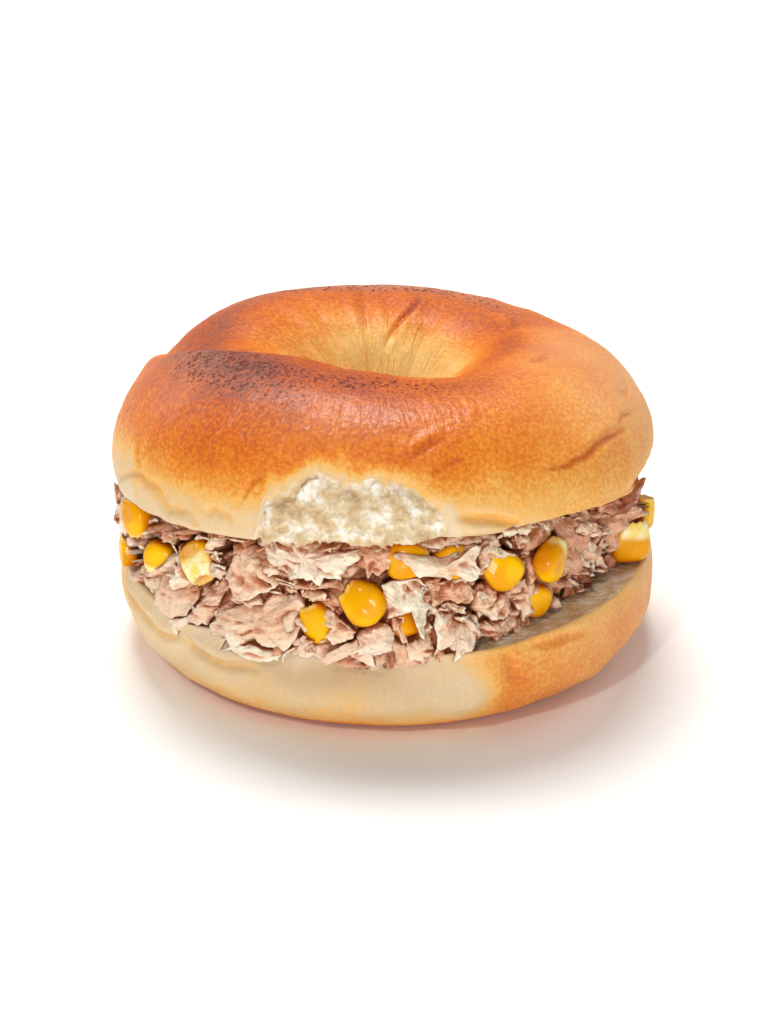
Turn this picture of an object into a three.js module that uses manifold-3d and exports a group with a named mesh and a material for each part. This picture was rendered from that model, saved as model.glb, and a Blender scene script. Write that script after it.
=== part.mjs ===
// Bagel sandwich: a halved, browned bagel with a thick layer of flaked tuna and sweetcorn between
// the halves. Millimetres, +Z up, seen from -Y. The origin is on the flat base, under the middle of
// the sandwich. Round the ring, angles are in degrees: 0 is the right side (+X), 90 the back, 270 the front.

import * as THREE from 'three';
import { mergeVertices } from 'three/addons/utils/BufferGeometryUtils.js';
import Module from 'manifold-3d';

const wasm = await Module();
wasm.setup();

// Clearance left between pieces that touch
const GAP = 0.35;

// Slivers thinner than this are dropped where solids are joined or cut
const JOIN_TOLERANCE = 0.03;

// Lower half of the bagel, cut face up
const HEEL = {
  radius: 54.5,      // widest point
  ropeRadius: 31,    // middle of the dough ring
  holeRadius: 8,
  height: 19.5,      // base to cut face
  equator: 15,       // height of the widest point
  underDepth: 17.5,  // how deep the round side would reach below the equator, if the base did not flatten it
  squareness: 2.25,
  ringSteps: 66,
  crustSteps: 11,
};

// Upper half of the bagel, cut face down. It leans back on a filling that is thicker at the front.
const CROWN = {
  radius: 54.5,
  ropeRadius: 32,
  holeRadius: 7.5,
  height: 30.6,      // cut face to crest
  equator: 7.1,
  underDepth: 22,
  ringSteps: 84,
  crustSteps: 17,
  lift: 34.3,        // height of the middle of its cut face above the base
  leanDegrees: 5.7,
  rollDegrees: 1.6,
};

// Radius lobes follow the outline seen in plan, crest lobes the height of the ring, underside lobes how far
// the side reaches down before it would close, and cut and rim lobes how far a cut edge is above a flat cut.
const CROWN_OUTLINE = [
  { at: 200, width: 30, size: 0.5 },
  { at: 318, width: 30, size: 1 },
  { at: 80, width: 50, size: -1 },
];
const CROWN_UNDERSIDE = [
  { at: 352, width: 30, size: -12 },
];
const CROWN_CREST = [
  { at: 215, width: 34, size: 2 },
  { at: 132, width: 28, size: 0.9 },
  { at: 176, width: 14, size: -2 },
  { at: 285, width: 40, size: -2.2 },
  { at: 20, width: 45, size: -3.4 },
];
const CROWN_CUT = [
  { at: 258, width: 60, size: 4.2 },
  { at: 312, width: 32, size: 3.1 },
  { at: 200, width: 22, size: 1.2 },
];
const CROWN_HOLE = [
  { at: 10, width: 40, size: 2.5 },
  { at: 185, width: 35, size: 3.5 },
];
const HEEL_OUTLINE = [
  { at: 262, width: 30, size: -1 },
  { at: 340, width: 40, size: 1.2 },
  { at: 188, width: 20, size: -0.4 },
  { at: 120, width: 40, size: -0.8 },
];
const HEEL_RIM = [
  { at: 268, width: 22, size: -0.8 },
  { at: 222, width: 7, size: -1.2 },
  { at: 338, width: 30, size: 1.6 },
];

// Creases and swellings in the crust: centre in degrees round the ring and round the section
// (0 is outermost, 90 the crest, 180 inside the hole), widths in degrees, size in mm outwards.
// slant turns a crease off the radial.
const CROWN_RELIEF = [
  { at: 187, width: 4, section: 85, span: 55, size: -3, slant: 0.36 },        // where the rope's ends meet
  { at: 198, width: 9, section: 95, span: 40, size: 1.4, slant: 0.36 },
  { at: 99, width: 4.5, section: 125, span: 32, size: -1.9, slant: 0.1 },     // folds down the wall of the hole
  { at: 84, width: 4, section: 118, span: 34, size: -1.6, slant: -0.25 },
  { at: 128, width: 4, section: 130, span: 30, size: -1, slant: 0.1 },
  { at: 60, width: 5, section: 130, span: 28, size: -0.9, slant: 0 },
  { at: 215, width: 2.5, section: -12, span: 12, size: -1, slant: 0.8 },      // wrinkle above the left cut edge
  { at: 322, width: 14, section: 22, span: 4, size: -0.7, slant: 0 },         // crack along the right side
  { at: 352, width: 26, section: -26, span: 15, size: -2.2, slant: 0 },       // right side, drawn in underneath
];
const HEEL_RELIEF = [
  { at: 258, width: 30, section: -2, span: 16, size: -1.5, slant: 0 },        // pale front, sunk under the rim
  { at: 222, width: 4, section: -8, span: 22, size: -1.1, slant: 0.3 },       // fold at the left
  { at: 291, width: 4, section: -6, span: 24, size: 0.8, slant: 0.2 },
];

// Torn patch at the front of the crown, where the crust has pulled off the crumb
const TEAR = { from: 238, to: 284, rise: 12.5, depth: 1.7, edge: 3, crags: 0.8 };

// Filling: how far it reaches, seen in plan, and its clearance from the two cut faces.
// Its middle swells up and down into the two holes.
const FILLING = { radius: 47, clearance: 0.75, swellUp: 2.4, swellDown: 1.4, edgeSteps: 32, seed: 26 };
const FILLING_OUTLINE = [
  { at: 265, width: 38, size: 3.4 },
  { at: 322, width: 22, size: -2.4 },
  { at: 224, width: 14, size: 2.4 },
  { at: 188, width: 20, size: 4 },
  { at: 356, width: 18, size: 4 },
  { at: 90, width: 65, size: 2.6 },
];

// Flakes of tuna pressed into the edge of the filling, set back where they would hide a kernel,
// and thin shreds that stick out of it
const FLAKE = {
  length: 17,
  width: 8,
  thickness: 5,
  pitchDegrees: 15,
  rowHeight: 7.6,
  tilt: 0.9,
  twist: 1.5,
  kernelReach: 6.2,
  setBack: 3.2,
};
const SHRED = { length: 9, radius: 0.9, sides: 4, count: 14 };

// Sweetcorn kernel
const KERNEL = {
  length: 9.6,
  width: 8.6,
  thickness: 6,
  boxiness: 2.7,
  cutAt: -0.82,      // share of the half length where the narrow end is cut flat
  cutWidth: 0.74,    // how wide that end is, as a share of the broad end
  segments: 8,
  rings: 5,
};

// Kernels seen at the front and sides. spin turns the broad end round the outward direction,
// anticlockwise from up; nod tips it outwards; roll turns the kernel about its own length.
const FRONT_KERNELS = [
  { at: 224.5, radius: 50, height: 31.2, spin: 50, nod: -30, roll: 20, size: 1.04 },
  { at: 265, radius: 51.2, height: 30.8, spin: -125, nod: 10, roll: -12, size: 1.04 },
  { at: 255.3, radius: 49.6, height: 25.3, spin: -150, nod: 0, roll: 15, size: 1 },
  { at: 200, radius: 52.4, height: 32.6, spin: 20, nod: 0, roll: 20, size: 0.94 },
  { at: 207.5, radius: 50.4, height: 26.2, spin: -10, nod: -10, roll: 50, size: 0.82 },
  { at: 195, radius: 53.6, height: 24.2, spin: 175, nod: 0, roll: 10, size: 0.76 },
  { at: 275.5, radius: 48.8, height: 38.4, spin: 88, nod: 0, roll: 8, size: 0.95 },
  { at: 284.6, radius: 48.8, height: 37.4, spin: -82, nod: 0, roll: -10, size: 0.9 },
  { at: 297.3, radius: 48.4, height: 33.8, spin: -128, nod: 10, roll: 0, size: 0.96 },
  { at: 312, radius: 48.6, height: 32.8, spin: 128, nod: 12, roll: -15, size: 0.98 },
  { at: 307.5, radius: 47.2, height: 24.4, spin: -115, nod: 8, roll: 8, size: 0.84 },
  { at: 345, radius: 51.2, height: 26.2, spin: 178, nod: -8, roll: 55, size: 1.08 },
  { at: 353, radius: 52.8, height: 28.8, spin: 170, nod: -12, roll: 25, size: 0.84 },
  { at: 275, radius: 49.2, height: 25.2, spin: 80, nod: 0, roll: 20, size: 0.72 },
];
// The rest are spread evenly round the back
const BACK_KERNELS = { from: 20, to: 172, count: 10, radius: 50.2, size: 0.86, seed: 11 };

const { smoothstep, lerp, degToRad, euclideanModulo } = THREE.MathUtils;
const AXIS_Z = new THREE.Vector3(0, 0, 1);

// Signed difference between two angles in degrees, from -180 to 180
const turnBetween = (a, b) => euclideanModulo(a - b + 180, 360) - 180;
const bell = (x) => Math.exp(-x * x);
const signedPower = (x, power) => Math.sign(x) * Math.abs(x) ** power;

// Sum of smooth swellings round the ring
const swell = (angle, lobes) =>
  lobes.reduce((sum, { at, width, size }) => sum + size * bell(turnBetween(angle, at) / width), 0);

// Sum of creases and swellings at a ring angle and a section angle, both in degrees
const relief = (angle, section, features) =>
  features.reduce((sum, f) => {
    const along = (section - f.section) / f.span;
    const across = turnBetween(angle, f.at + f.slant * (section - f.section)) / f.width;
    return sum + f.size * bell(across) * bell(along);
  }, 0);

// Repeatable random numbers from 0 to 1
function seededRandom(seed) {
  let state = seed;
  return () => {
    state = (state + 0x6d2b79f5) | 0;
    let mixed = Math.imul(state ^ (state >>> 15), 1 | state);
    mixed = (mixed + Math.imul(mixed ^ (mixed >>> 7), 61 | mixed)) ^ mixed;
    return ((mixed ^ (mixed >>> 14)) >>> 0) / 4294967296;
  };
}

// How far a cut face is above a flat cut, nothing at the hole and most at the edge
const cutRaise = (half, lobes, angle, radius) =>
  swell(angle, lobes) * Math.max(0, (radius - half.holeRadius) / (half.radius - half.holeRadius));

// 1 inside the torn patch, 0 outside; rise is the height above the cut edge
function tearMask(angle, rise) {
  const middle = (TEAR.from + TEAR.to) / 2;
  const share = Math.abs(turnBetween(angle, middle)) / ((TEAR.to - TEAR.from) / 2);
  if (share >= 1) return 0;
  const top = TEAR.rise * Math.sqrt(1 - share * share);
  return smoothstep(top - rise, 0, TEAR.edge / 2);
}

// Small repeatable crags, about 1 at most
const crag = (angle, height) =>
  0.5 * Math.sin(angle * 0.83 + height * 0.9) + 0.3 * Math.sin(angle * 1.71 - height * 1.6 + 1) +
  0.2 * Math.sin(angle * 0.37 + height * 2.3 + 2);

// Section of the crown at a ring angle, as a closed loop of (radius, height), anticlockwise with height up.
// The crust runs from the outer cut edge over the crest to the inner one, and the cut face closes the loop.
function crownLoop(angle) {
  const outer = CROWN.radius + swell(angle, CROWN_OUTLINE);
  const hole = CROWN.holeRadius + swell(angle, CROWN_HOLE);
  const height = CROWN.height + swell(angle, CROWN_CREST);
  const cut = swell(angle, CROWN_CUT);
  const depth = CROWN.underDepth + swell(angle, CROWN_UNDERSIDE);
  const start = -Math.asin((CROWN.equator - cut) / depth);
  const end = Math.PI + Math.asin(CROWN.equator / depth);
  const points = [];
  for (let i = 0; i <= CROWN.crustSteps; i++) {
    const step = i / CROWN.crustSteps;
    const phi = lerp(start, end, 0.68 * step + 0.32 * step * step);
    const reach = Math.cos(phi) > 0 ? outer - CROWN.ropeRadius : CROWN.ropeRadius - hole;
    const rise = Math.sin(phi) > 0 ? height - CROWN.equator : depth;
    const z = CROWN.equator + rise * Math.sin(phi);
    const torn = Math.cos(phi) > 0 ? tearMask(angle, z - cut) : 0;
    const out = relief(angle, THREE.MathUtils.radToDeg(phi), CROWN_RELIEF)
      - torn * (TEAR.depth + TEAR.crags * crag(angle * 4, z * 1.7));
    points.push(new THREE.Vector2(
      CROWN.ropeRadius + (reach + out) * Math.cos(phi),
      i % CROWN.crustSteps ? z + out * Math.max(0, Math.sin(phi)) : z,
    ));
  }
  return points;
}

// Section of the heel: its round side is flattened by the base
function heelLoop(angle) {
  const outer = HEEL.radius + swell(angle, HEEL_OUTLINE);
  const rim = HEEL.height + swell(angle, HEEL_RIM);
  const start = -Math.PI - Math.asin((HEEL.height - HEEL.equator) / HEEL.underDepth);
  const end = Math.asin((rim - HEEL.equator) / HEEL.underDepth);
  const points = [];
  for (let i = 0; i <= HEEL.crustSteps; i++) {
    const step = i / HEEL.crustSteps;
    const phi = lerp(start, end, 1.25 * step - 0.25 * step * step);
    const reach = Math.cos(phi) > 0 ? outer - HEEL.ropeRadius : HEEL.ropeRadius - HEEL.holeRadius;
    const power = Math.sin(phi) < 0 ? 2 / HEEL.squareness : 1;
    const out = Math.cos(phi) > 0 ? relief(angle, THREE.MathUtils.radToDeg(phi), HEEL_RELIEF) : 0;
    const z = HEEL.equator + HEEL.underDepth * signedPower(Math.sin(phi), power);
    points.push(new THREE.Vector2(
      HEEL.ropeRadius + (reach + out) * signedPower(Math.cos(phi), power),
      Math.max(0, z),
    ));
  }
  return points;
}

// Moves every side of a closed loop outwards by the same distance
function growLoop(points, distance) {
  const count = points.length;
  return points.map((point, i) => {
    const before = point.clone().sub(points[(i + count - 1) % count]);
    const after = points[(i + 1) % count].clone().sub(point);
    const normal = new THREE.Vector2(before.y, -before.x).normalize()
      .add(new THREE.Vector2(after.y, -after.x).normalize());
    return point.clone().addScaledVector(normal, (2 * distance) / Math.max(normal.lengthSq(), 0.5));
  });
}

// Surface through rows of points, closed round the rows and along them
function gridGeometry(rows) {
  const size = rows[0].length;
  const positions = rows.flat().flatMap((p) => [p.x, p.y, p.z]);
  const indices = [];
  rows.forEach((_, i) => {
    const [a, b] = [i * size, ((i + 1) % rows.length) * size];
    for (let j = 0; j < size; j++) {
      const k = (j + 1) % size;
      indices.push(a + j, b + j, b + k, a + j, b + k, a + k);
    }
  });
  return new THREE.BufferGeometry()
    .setAttribute('position', new THREE.Float32BufferAttribute(positions, 3))
    .setIndex(indices);
}

const onRing = (angle, radius, z) =>
  new THREE.Vector3(radius * Math.cos(degToRad(angle)), radius * Math.sin(degToRad(angle)), z);

// Closed ring whose section at each angle is the loop that loopAt gives, grown by a clearance
function ringGeometry(loopAt, steps, grow = 0) {
  const rows = Array.from({ length: steps }, (_, i) => {
    const angle = (360 * i) / steps;
    return growLoop(loopAt(angle), grow).map((p) => onRing(angle, p.x, p.y));
  });
  return gridGeometry(rows);
}

// Copy of a shape with nothing but positions, shared by the faces that meet
function bareShape(geometry) {
  const bare = geometry.clone();
  bare.deleteAttribute('uv');
  bare.deleteAttribute('normal');
  return mergeVertices(bare, 1e-4);
}

// A closed mesh as a solid that can be joined and cut
function toSolid(geometry, matrix = new THREE.Matrix4()) {
  const merged = bareShape(geometry.clone().applyMatrix4(matrix));
  const corners = merged.index.array;
  const triVerts = [];
  for (let i = 0; i < corners.length; i += 3) {
    const [a, b, c] = corners.slice(i, i + 3);
    if (a !== b && b !== c && c !== a) triVerts.push(a, b, c);
  }
  return new wasm.Manifold(new wasm.Mesh({
    numProp: 3,
    vertProperties: merged.attributes.position.array,
    triVerts: new Uint32Array(triVerts),
    tolerance: JOIN_TOLERANCE,
  }));
}

function toGeometry(solid) {
  const mesh = solid.getMesh();
  return new THREE.BufferGeometry()
    .setAttribute('position', new THREE.BufferAttribute(mesh.vertProperties, 3))
    .setIndex(new THREE.BufferAttribute(mesh.triVerts, 1));
}

const largestBody = (solid) =>
  solid.decompose().reduce((best, body) => (body.volume() > best.volume() ? body : best));

const joinAll = (solids) => solids.reduce((sum, solid) => sum.add(solid));

// The crown's place, shared by its mesh and by what has to stay clear of it
const crownPlace = new THREE.Object3D();
crownPlace.position.z = CROWN.lift;
crownPlace.rotation.set(-degToRad(CROWN.leanDegrees), -degToRad(CROWN.rollDegrees), 0);
crownPlace.updateMatrix();

// Heights of the two cut faces at a point of the plan
const heelCutHeight = (angle, radius) => HEEL.height + cutRaise(HEEL, HEEL_RIM, angle, radius);
const crownCutHeight = (angle, radius) =>
  onRing(angle, radius, cutRaise(CROWN, CROWN_CUT, angle, radius)).applyMatrix4(crownPlace.matrix).z;

const fillingRadius = (angle) => FILLING.radius + swell(angle, FILLING_OUTLINE);

// Lower end and height of the room for the filling at its edge
function roomAt(angle) {
  const low = heelCutHeight(angle, fillingRadius(angle));
  return [low, crownCutHeight(angle, fillingRadius(angle)) - low];
}

// Bare body of the filling: a lumpy disc that follows both cut faces and swells a little into both holes
function fillingCore(random) {
  const shares = [0, 0.14, 0.88];
  const rows = Array.from({ length: FILLING.edgeSteps }, (_, i) => {
    const angle = (360 * i) / FILLING.edgeSteps;
    const edge = fillingRadius(angle);
    const low = (share) =>
      heelCutHeight(angle, edge * share) + FILLING.clearance - (share ? 0 : FILLING.swellDown);
    const high = (share) =>
      crownCutHeight(angle, edge * share) - FILLING.clearance + (share ? 0 : FILLING.swellUp);
    const floor = shares.map((share) => onRing(angle, edge * share, low(share)));
    const roof = shares.map((share) => onRing(angle, edge * share, high(share)));
    const wall = onRing(angle, edge * (0.97 + 0.04 * random()), lerp(low(1), high(1), 0.35 + 0.3 * random()));
    return [...floor, wall, ...roof.reverse()];
  });
  return toSolid(gridGeometry(rows));
}

// Rounded lump with uneven, torn sides; long, wide and thick along X, Y and Z
function flakeGeometry(random) {
  const flake = bareShape(new THREE.IcosahedronGeometry(1));
  const position = flake.getAttribute('position');
  const point = new THREE.Vector3();
  for (let i = 0; i < position.count; i++) {
    const pull = 0.78 + 0.44 * random();
    const thicken = 0.8 + 0.4 * random();
    point.fromBufferAttribute(position, i);
    position.setXYZ(i, point.x * pull, point.y * pull, point.z * thicken);
  }
  return flake;
}

// Frame on the edge of the filling: X along the edge, Y up, Z outwards
function edgeFrame(angle, radius, height) {
  const outward = onRing(angle, 1, 0);
  const along = new THREE.Vector3().crossVectors(AXIS_Z, outward);
  return new THREE.Matrix4().makeBasis(along, AXIS_Z, outward).setPosition(onRing(angle, radius, height));
}

function flakes(random, kernelCentres) {
  const made = [];
  for (let angle = 0; angle < 360; angle += FLAKE.pitchDegrees) {
    const [low, room] = roomAt(angle);
    const rows = Math.ceil(room / FLAKE.rowHeight);
    for (let row = 0; row < rows; row++) {
      const at = angle + FLAKE.pitchDegrees * (random() - 0.5);
      const height = low + (room * (row + 0.3 + 0.4 * random())) / rows;
      const size = 0.75 + 0.5 * random();
      const radius = fillingRadius(at) - 0.3 + 1.6 * random();
      const middle = onRing(at, radius, height);
      const crowded = kernelCentres.some((centre) => centre.distanceTo(middle) < FLAKE.kernelReach);
      const frame = edgeFrame(at, radius - (crowded ? FLAKE.setBack : 0), height)
        .multiply(new THREE.Matrix4().makeRotationFromEuler(new THREE.Euler(
          FLAKE.tilt * (random() - 0.5), FLAKE.tilt * (random() - 0.5), FLAKE.twist * (random() - 0.5),
        )))
        .scale(new THREE.Vector3(FLAKE.length, FLAKE.width, FLAKE.thickness).multiplyScalar(size / 2));
      made.push(toSolid(flakeGeometry(random), frame));
    }
  }
  return joinAll(made);
}

// Thin torn shreds, pointing out of the edge
function shreds(random) {
  const made = Array.from({ length: SHRED.count }, (_, i) => {
    const at = (360 * (i + 0.8 * random())) / SHRED.count;
    const [low, room] = roomAt(at);
    const cone = new THREE.ConeGeometry(SHRED.radius, SHRED.length * (0.7 + 0.6 * random()), SHRED.sides);
    const frame = edgeFrame(at, fillingRadius(at) + 2.5, low + room * (0.2 + 0.6 * random()))
      .multiply(new THREE.Matrix4().makeRotationFromEuler(new THREE.Euler(
        Math.PI / 2 - 0.9 + 0.8 * random(), 0, 2.4 * (random() - 0.5),
      )));
    return toSolid(cone, frame);
  });
  return joinAll(made);
}

// Kernel with a broad rounded end (+Y) that narrows to the flat end where it was cut off the cob
function kernelGeometry() {
  const shape = bareShape(new THREE.SphereGeometry(1, KERNEL.segments, KERNEL.rings));
  const position = shape.getAttribute('position');
  const point = new THREE.Vector3();
  const halfSize = new THREE.Vector3(KERNEL.width, KERNEL.length, KERNEL.thickness).divideScalar(2);
  const n = KERNEL.boxiness;
  for (let i = 0; i < position.count; i++) {
    point.fromBufferAttribute(position, i);
    point.divideScalar((Math.abs(point.x) ** n + Math.abs(point.y) ** n + Math.abs(point.z) ** n) ** (1 / n));
    const narrow = lerp(KERNEL.cutWidth, 1, smoothstep(point.y, -1, 0.3));
    point.set(point.x * narrow, Math.max(point.y, KERNEL.cutAt), point.z * narrow);
    position.setXYZ(i, ...point.multiply(halfSize));
  }
  return shape;
}

function kernelPlaces() {
  const random = seededRandom(BACK_KERNELS.seed);
  const back = Array.from({ length: BACK_KERNELS.count }, (_, i) => {
    const share = (i + 0.3 * (random() - 0.5)) / (BACK_KERNELS.count - 1);
    const at = lerp(BACK_KERNELS.from, BACK_KERNELS.to, share);
    const radius = BACK_KERNELS.radius + 1.2 * random();
    const [low, room] = roomAt(at);
    return {
      at,
      radius,
      height: low + room / 2,
      spin: 90 + 20 * (random() - 0.5),
      nod: 30 * (random() - 0.5),
      roll: 90 + 16 * (random() - 0.5),
      size: BACK_KERNELS.size,
    };
  });
  return [...FRONT_KERNELS, ...back];
}

function kernelMatrix({ at, radius, height, spin, nod, roll, size }) {
  const turn = new THREE.Euler(degToRad(nod), degToRad(roll), degToRad(spin), 'ZXY');
  return edgeFrame(at, radius, height)
    .multiply(new THREE.Matrix4().makeRotationFromEuler(turn))
    .scale(new THREE.Vector3(size, size, size));
}

const crust = new THREE.MeshStandardMaterial({ color: '#cf7f35', roughness: 0.42, metalness: 0 });
const paleCrust = new THREE.MeshStandardMaterial({ color: '#dcb27c', roughness: 0.6, metalness: 0 });
const tuna = new THREE.MeshStandardMaterial({ color: '#d2a78f', roughness: 0.5, metalness: 0 });
const sweetcorn = new THREE.MeshStandardMaterial({ color: '#f0ac1c', roughness: 0.25, metalness: 0 });

const bagel = new THREE.Group();

function add(name, geometry, material, matrix = new THREE.Matrix4()) {
  const mesh = new THREE.Mesh(geometry, material);
  mesh.name = name;
  mesh.applyMatrix4(matrix);
  bagel.add(mesh);
}

add('bagel_bottom', ringGeometry(heelLoop, HEEL.ringSteps), paleCrust);
add('bagel_top', ringGeometry(crownLoop, CROWN.ringSteps), crust, crownPlace.matrix);

const kernel = kernelGeometry();
const pocketSwell = 1 + (2 * GAP) / (KERNEL.thickness * 0.7);
const kernelMatrices = kernelPlaces().map(kernelMatrix);
const kernelCentres = kernelMatrices.map((matrix) => new THREE.Vector3().setFromMatrixPosition(matrix));
kernelMatrices.forEach((matrix, i) => {
  add(`sweetcorn_${String(i + 1).padStart(2, '0')}`, kernel, sweetcorn, matrix);
});

const random = seededRandom(FILLING.seed);
const bread = toSolid(ringGeometry(heelLoop, HEEL.ringSteps, GAP))
  .add(toSolid(ringGeometry(crownLoop, CROWN.ringSteps, GAP), crownPlace.matrix));
const pockets = joinAll(kernelMatrices.map((matrix) =>
  toSolid(kernel, matrix.clone().scale(new THREE.Vector3(pocketSwell, pocketSwell, pocketSwell)))));
const filling = fillingCore(random)
  .add(flakes(random, kernelCentres).add(shreds(random)).subtract(bread))
  .subtract(pockets);
add('tuna_filling', toGeometry(largestBody(filling)), tuna);

// The origin goes under the middle of the whole
const middle = new THREE.Box3().setFromObject(bagel, true).getCenter(new THREE.Vector3());
bagel.position.set(-middle.x, -middle.y, 0);

export default bagel;
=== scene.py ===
"""Looks of the bagel sandwich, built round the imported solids.

Shapes are worked out in millimetres in the ring's own frame: angles in degrees round the ring, 0 at the
right (+X), 90 at the back, 270 at the front, and section angles in degrees round the dough, 0 outermost,
90 on the crest and 180 inside the hole. They are moved to the row frame, in metres, as meshes are made.
"""

import math
from itertools import product

import bmesh
import bpy
import numpy as np
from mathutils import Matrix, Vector


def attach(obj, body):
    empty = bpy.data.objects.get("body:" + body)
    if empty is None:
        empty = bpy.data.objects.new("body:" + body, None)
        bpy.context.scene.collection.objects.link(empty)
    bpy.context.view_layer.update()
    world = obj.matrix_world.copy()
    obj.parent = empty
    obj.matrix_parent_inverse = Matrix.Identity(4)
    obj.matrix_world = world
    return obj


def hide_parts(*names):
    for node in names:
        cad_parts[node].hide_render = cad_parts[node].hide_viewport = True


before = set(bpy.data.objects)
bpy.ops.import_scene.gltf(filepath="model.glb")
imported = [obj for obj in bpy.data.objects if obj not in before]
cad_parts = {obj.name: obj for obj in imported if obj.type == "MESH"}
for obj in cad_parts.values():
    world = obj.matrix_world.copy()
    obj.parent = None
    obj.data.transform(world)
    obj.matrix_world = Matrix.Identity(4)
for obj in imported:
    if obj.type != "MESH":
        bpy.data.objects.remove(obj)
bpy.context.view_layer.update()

MM = 0.001

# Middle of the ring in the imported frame, whose origin is under the middle of the whole
RING_CENTRE = np.array([0.43, -0.07, 0.0])

# Halves of the bagel, the same driving sizes as the solids
CROWN = {"radius": 54.5, "rope": 32, "hole": 7.5, "height": 30.6, "equator": 7.1, "depth": 22,
         "lift": 34.3, "lean": 5.7, "roll": 1.6}
HEEL = {"radius": 54.5, "rope": 31, "hole": 8, "height": 19.5, "equator": 15, "depth": 17.5,
        "squareness": 2.25}

# Their points: columns round the ring, closer together near one angle, rows over crust and cut face, and how
# wide the first steps over the crust are beside the mean
CROWN_GRID = {"columns": (540, 262, 42, 2.2), "crust": 140, "cut": 28, "first_step": 0.72}
HEEL_GRID = {"columns": (540, 265, 55, 1.9), "crust": 120, "cut": 46, "first_step": 1.3}

# Greatest radius of crust and kernels, and of flakes, each with what may ease beyond it, and that of the mash
CRUST_LIMIT = (54.9, 0.4)
FLAKE_LIMIT = (53.6, 1.3)
MASH_LIMIT = 54.3

# Lobes round the ring: (centre, width, size)
CROWN_OUTLINE = [(200, 30, 0.5), (318, 30, 1), (80, 50, -1)]
CROWN_UNDERSIDE = [(352, 30, -12)]
CROWN_CREST = [(215, 34, 2), (132, 28, 0.9), (176, 14, -2), (285, 40, -2.2), (20, 45, -3.4)]
CROWN_CUT = [(258, 60, 4.2), (312, 32, 3.1), (200, 22, 1.2)]
CROWN_HOLE = [(10, 40, 2.5), (185, 35, 3.5)]
HEEL_OUTLINE = [(262, 30, -1), (340, 40, 1.2), (188, 20, -0.4), (120, 40, -0.8)]
HEEL_RIM = [(268, 22, -0.8), (222, 7, -1.2), (338, 30, 1.6)]

# Folds and swellings of the dough: (ring angle, width, section, span, size, slant)
CROWN_FOLDS = [
    (99, 4, 122, 30, -0.8, 0.1), (105, 4, 124, 26, 0.4, 0.1), (84, 4, 118, 34, -0.6, -0.25),
    (128, 4, 130, 30, -0.4, 0.1), (60, 6, 130, 28, -0.5, 0), (146, 5, 128, 24, -0.4, 0.12),
    (352, 26, -26, 15, -2.2, 0), (266, 15, 112, 26, 1.4, 0), (311, 17, 116, 30, -1.7, 0),
]
HEEL_FOLDS = [(257, 27, 6, 15, -3.0, 0), (222, 4, -8, 22, -1.1, 0.3), (291, 4, -6, 24, 0.8, 0.2)]

# Line where the ends of the dough meet: the front end laps over the back one, which slopes down to it
SEAM = {"at": 205, "section": 88, "slant": 1.0, "depth": 5.0, "front": 2.6, "back": 17}

# Creases along lines of (ring angle, section): width and depth in mm, lip is the swelling on one side
CROWN_CREASES = [
    {"path": [(304.5, 19.5), (310.5, 18.5), (314, 20), (317.5, 20), (321, 23), (325.5, 24), (330.5, 22.5),
              (334.5, 23.5)], "width": 0.75, "depth": 1.0, "lip": 0.35},
    {"path": [(331.5, 25.5), (332, 27.5), (335, 29), (341.5, 26.5)], "width": 0.6, "depth": 0.5, "lip": 0.25},
    {"path": [(352, 38), (346.5, 34.5), (339.5, 37)], "width": 0.6, "depth": 0.45, "lip": 0.2},
    {"path": [(192, -6), (197.5, -2), (204.5, 5), (209.5, 8), (213, 5.5), (216.5, 6), (218, 2), (220.5, -3.5),
              (223.5, -2), (226.5, -2), (229, -6), (231, -9)], "width": 0.85, "depth": 1.25, "lip": -0.5},
    {"path": [(205, 27.5), (209, 15.5), (211, 9), (214, 6.5)], "width": 0.7, "depth": 0.5, "lip": 0.3},
    {"path": [(231, 0), (234, 5), (237, 2.5), (238.5, -2.5)], "width": 0.9, "depth": 0.6, "lip": 0.3},
    {"path": [(239.5, 8), (241.5, 17), (243.5, 22.5), (246, 26)], "width": 0.5, "depth": 0.5, "lip": 0.25},
    {"path": [(284.5, 4.5), (286.5, 4), (289.5, 1.5), (292.5, 1), (295.5, -1.5), (298.5, -3.5)],
     "width": 0.8, "depth": 1.4, "lip": -0.5},
    {"path": [(273.5, 31.5), (277, 36), (282, 41.5), (286, 45)], "width": 0.8, "depth": 0.3, "lip": 0.5},
    {"path": [(279, 24), (284, 30), (289, 34)], "width": 0.7, "depth": 0.25, "lip": 0.4},
    {"path": [(327, 84), (332, 79.5), (338, 79)], "width": 0.8, "depth": 0.5, "lip": 0.2},
    {"path": [(20, 100), (27, 92), (34, 90)], "width": 0.8, "depth": 0.5, "lip": 0.25},
    {"path": [(72.5, 96), (74, 112), (80, 127), (86, 140)], "width": 0.7, "depth": 0.85, "lip": 0.4},
]
HEEL_CREASES = [
    {"path": [(190, 0), (197.5, 0.5), (203, 2), (210.5, -0.5), (216.5, -3.5), (219, -2), (221, 1), (222, 4)],
     "width": 0.9, "depth": 1.5, "lip": 0.8},
    {"path": [(221.5, 2.5), (224, -2.5), (229.5, -5), (233.5, -6), (237.5, -4.5), (243, -3)],
     "width": 0.9, "depth": 1.4, "lip": 0.8},
    {"path": [(301, 9), (303, 9), (307, 7.5), (311, 7.5), (314, 6), (318, 5.5)],
     "width": 0.9, "depth": 0.9, "lip": 0.5},
    {"path": [(296, 11), (296, 5.5), (297.5, -4), (300.5, -11.5)], "width": 1.3, "depth": 0.5, "lip": 0.5},
]

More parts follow.
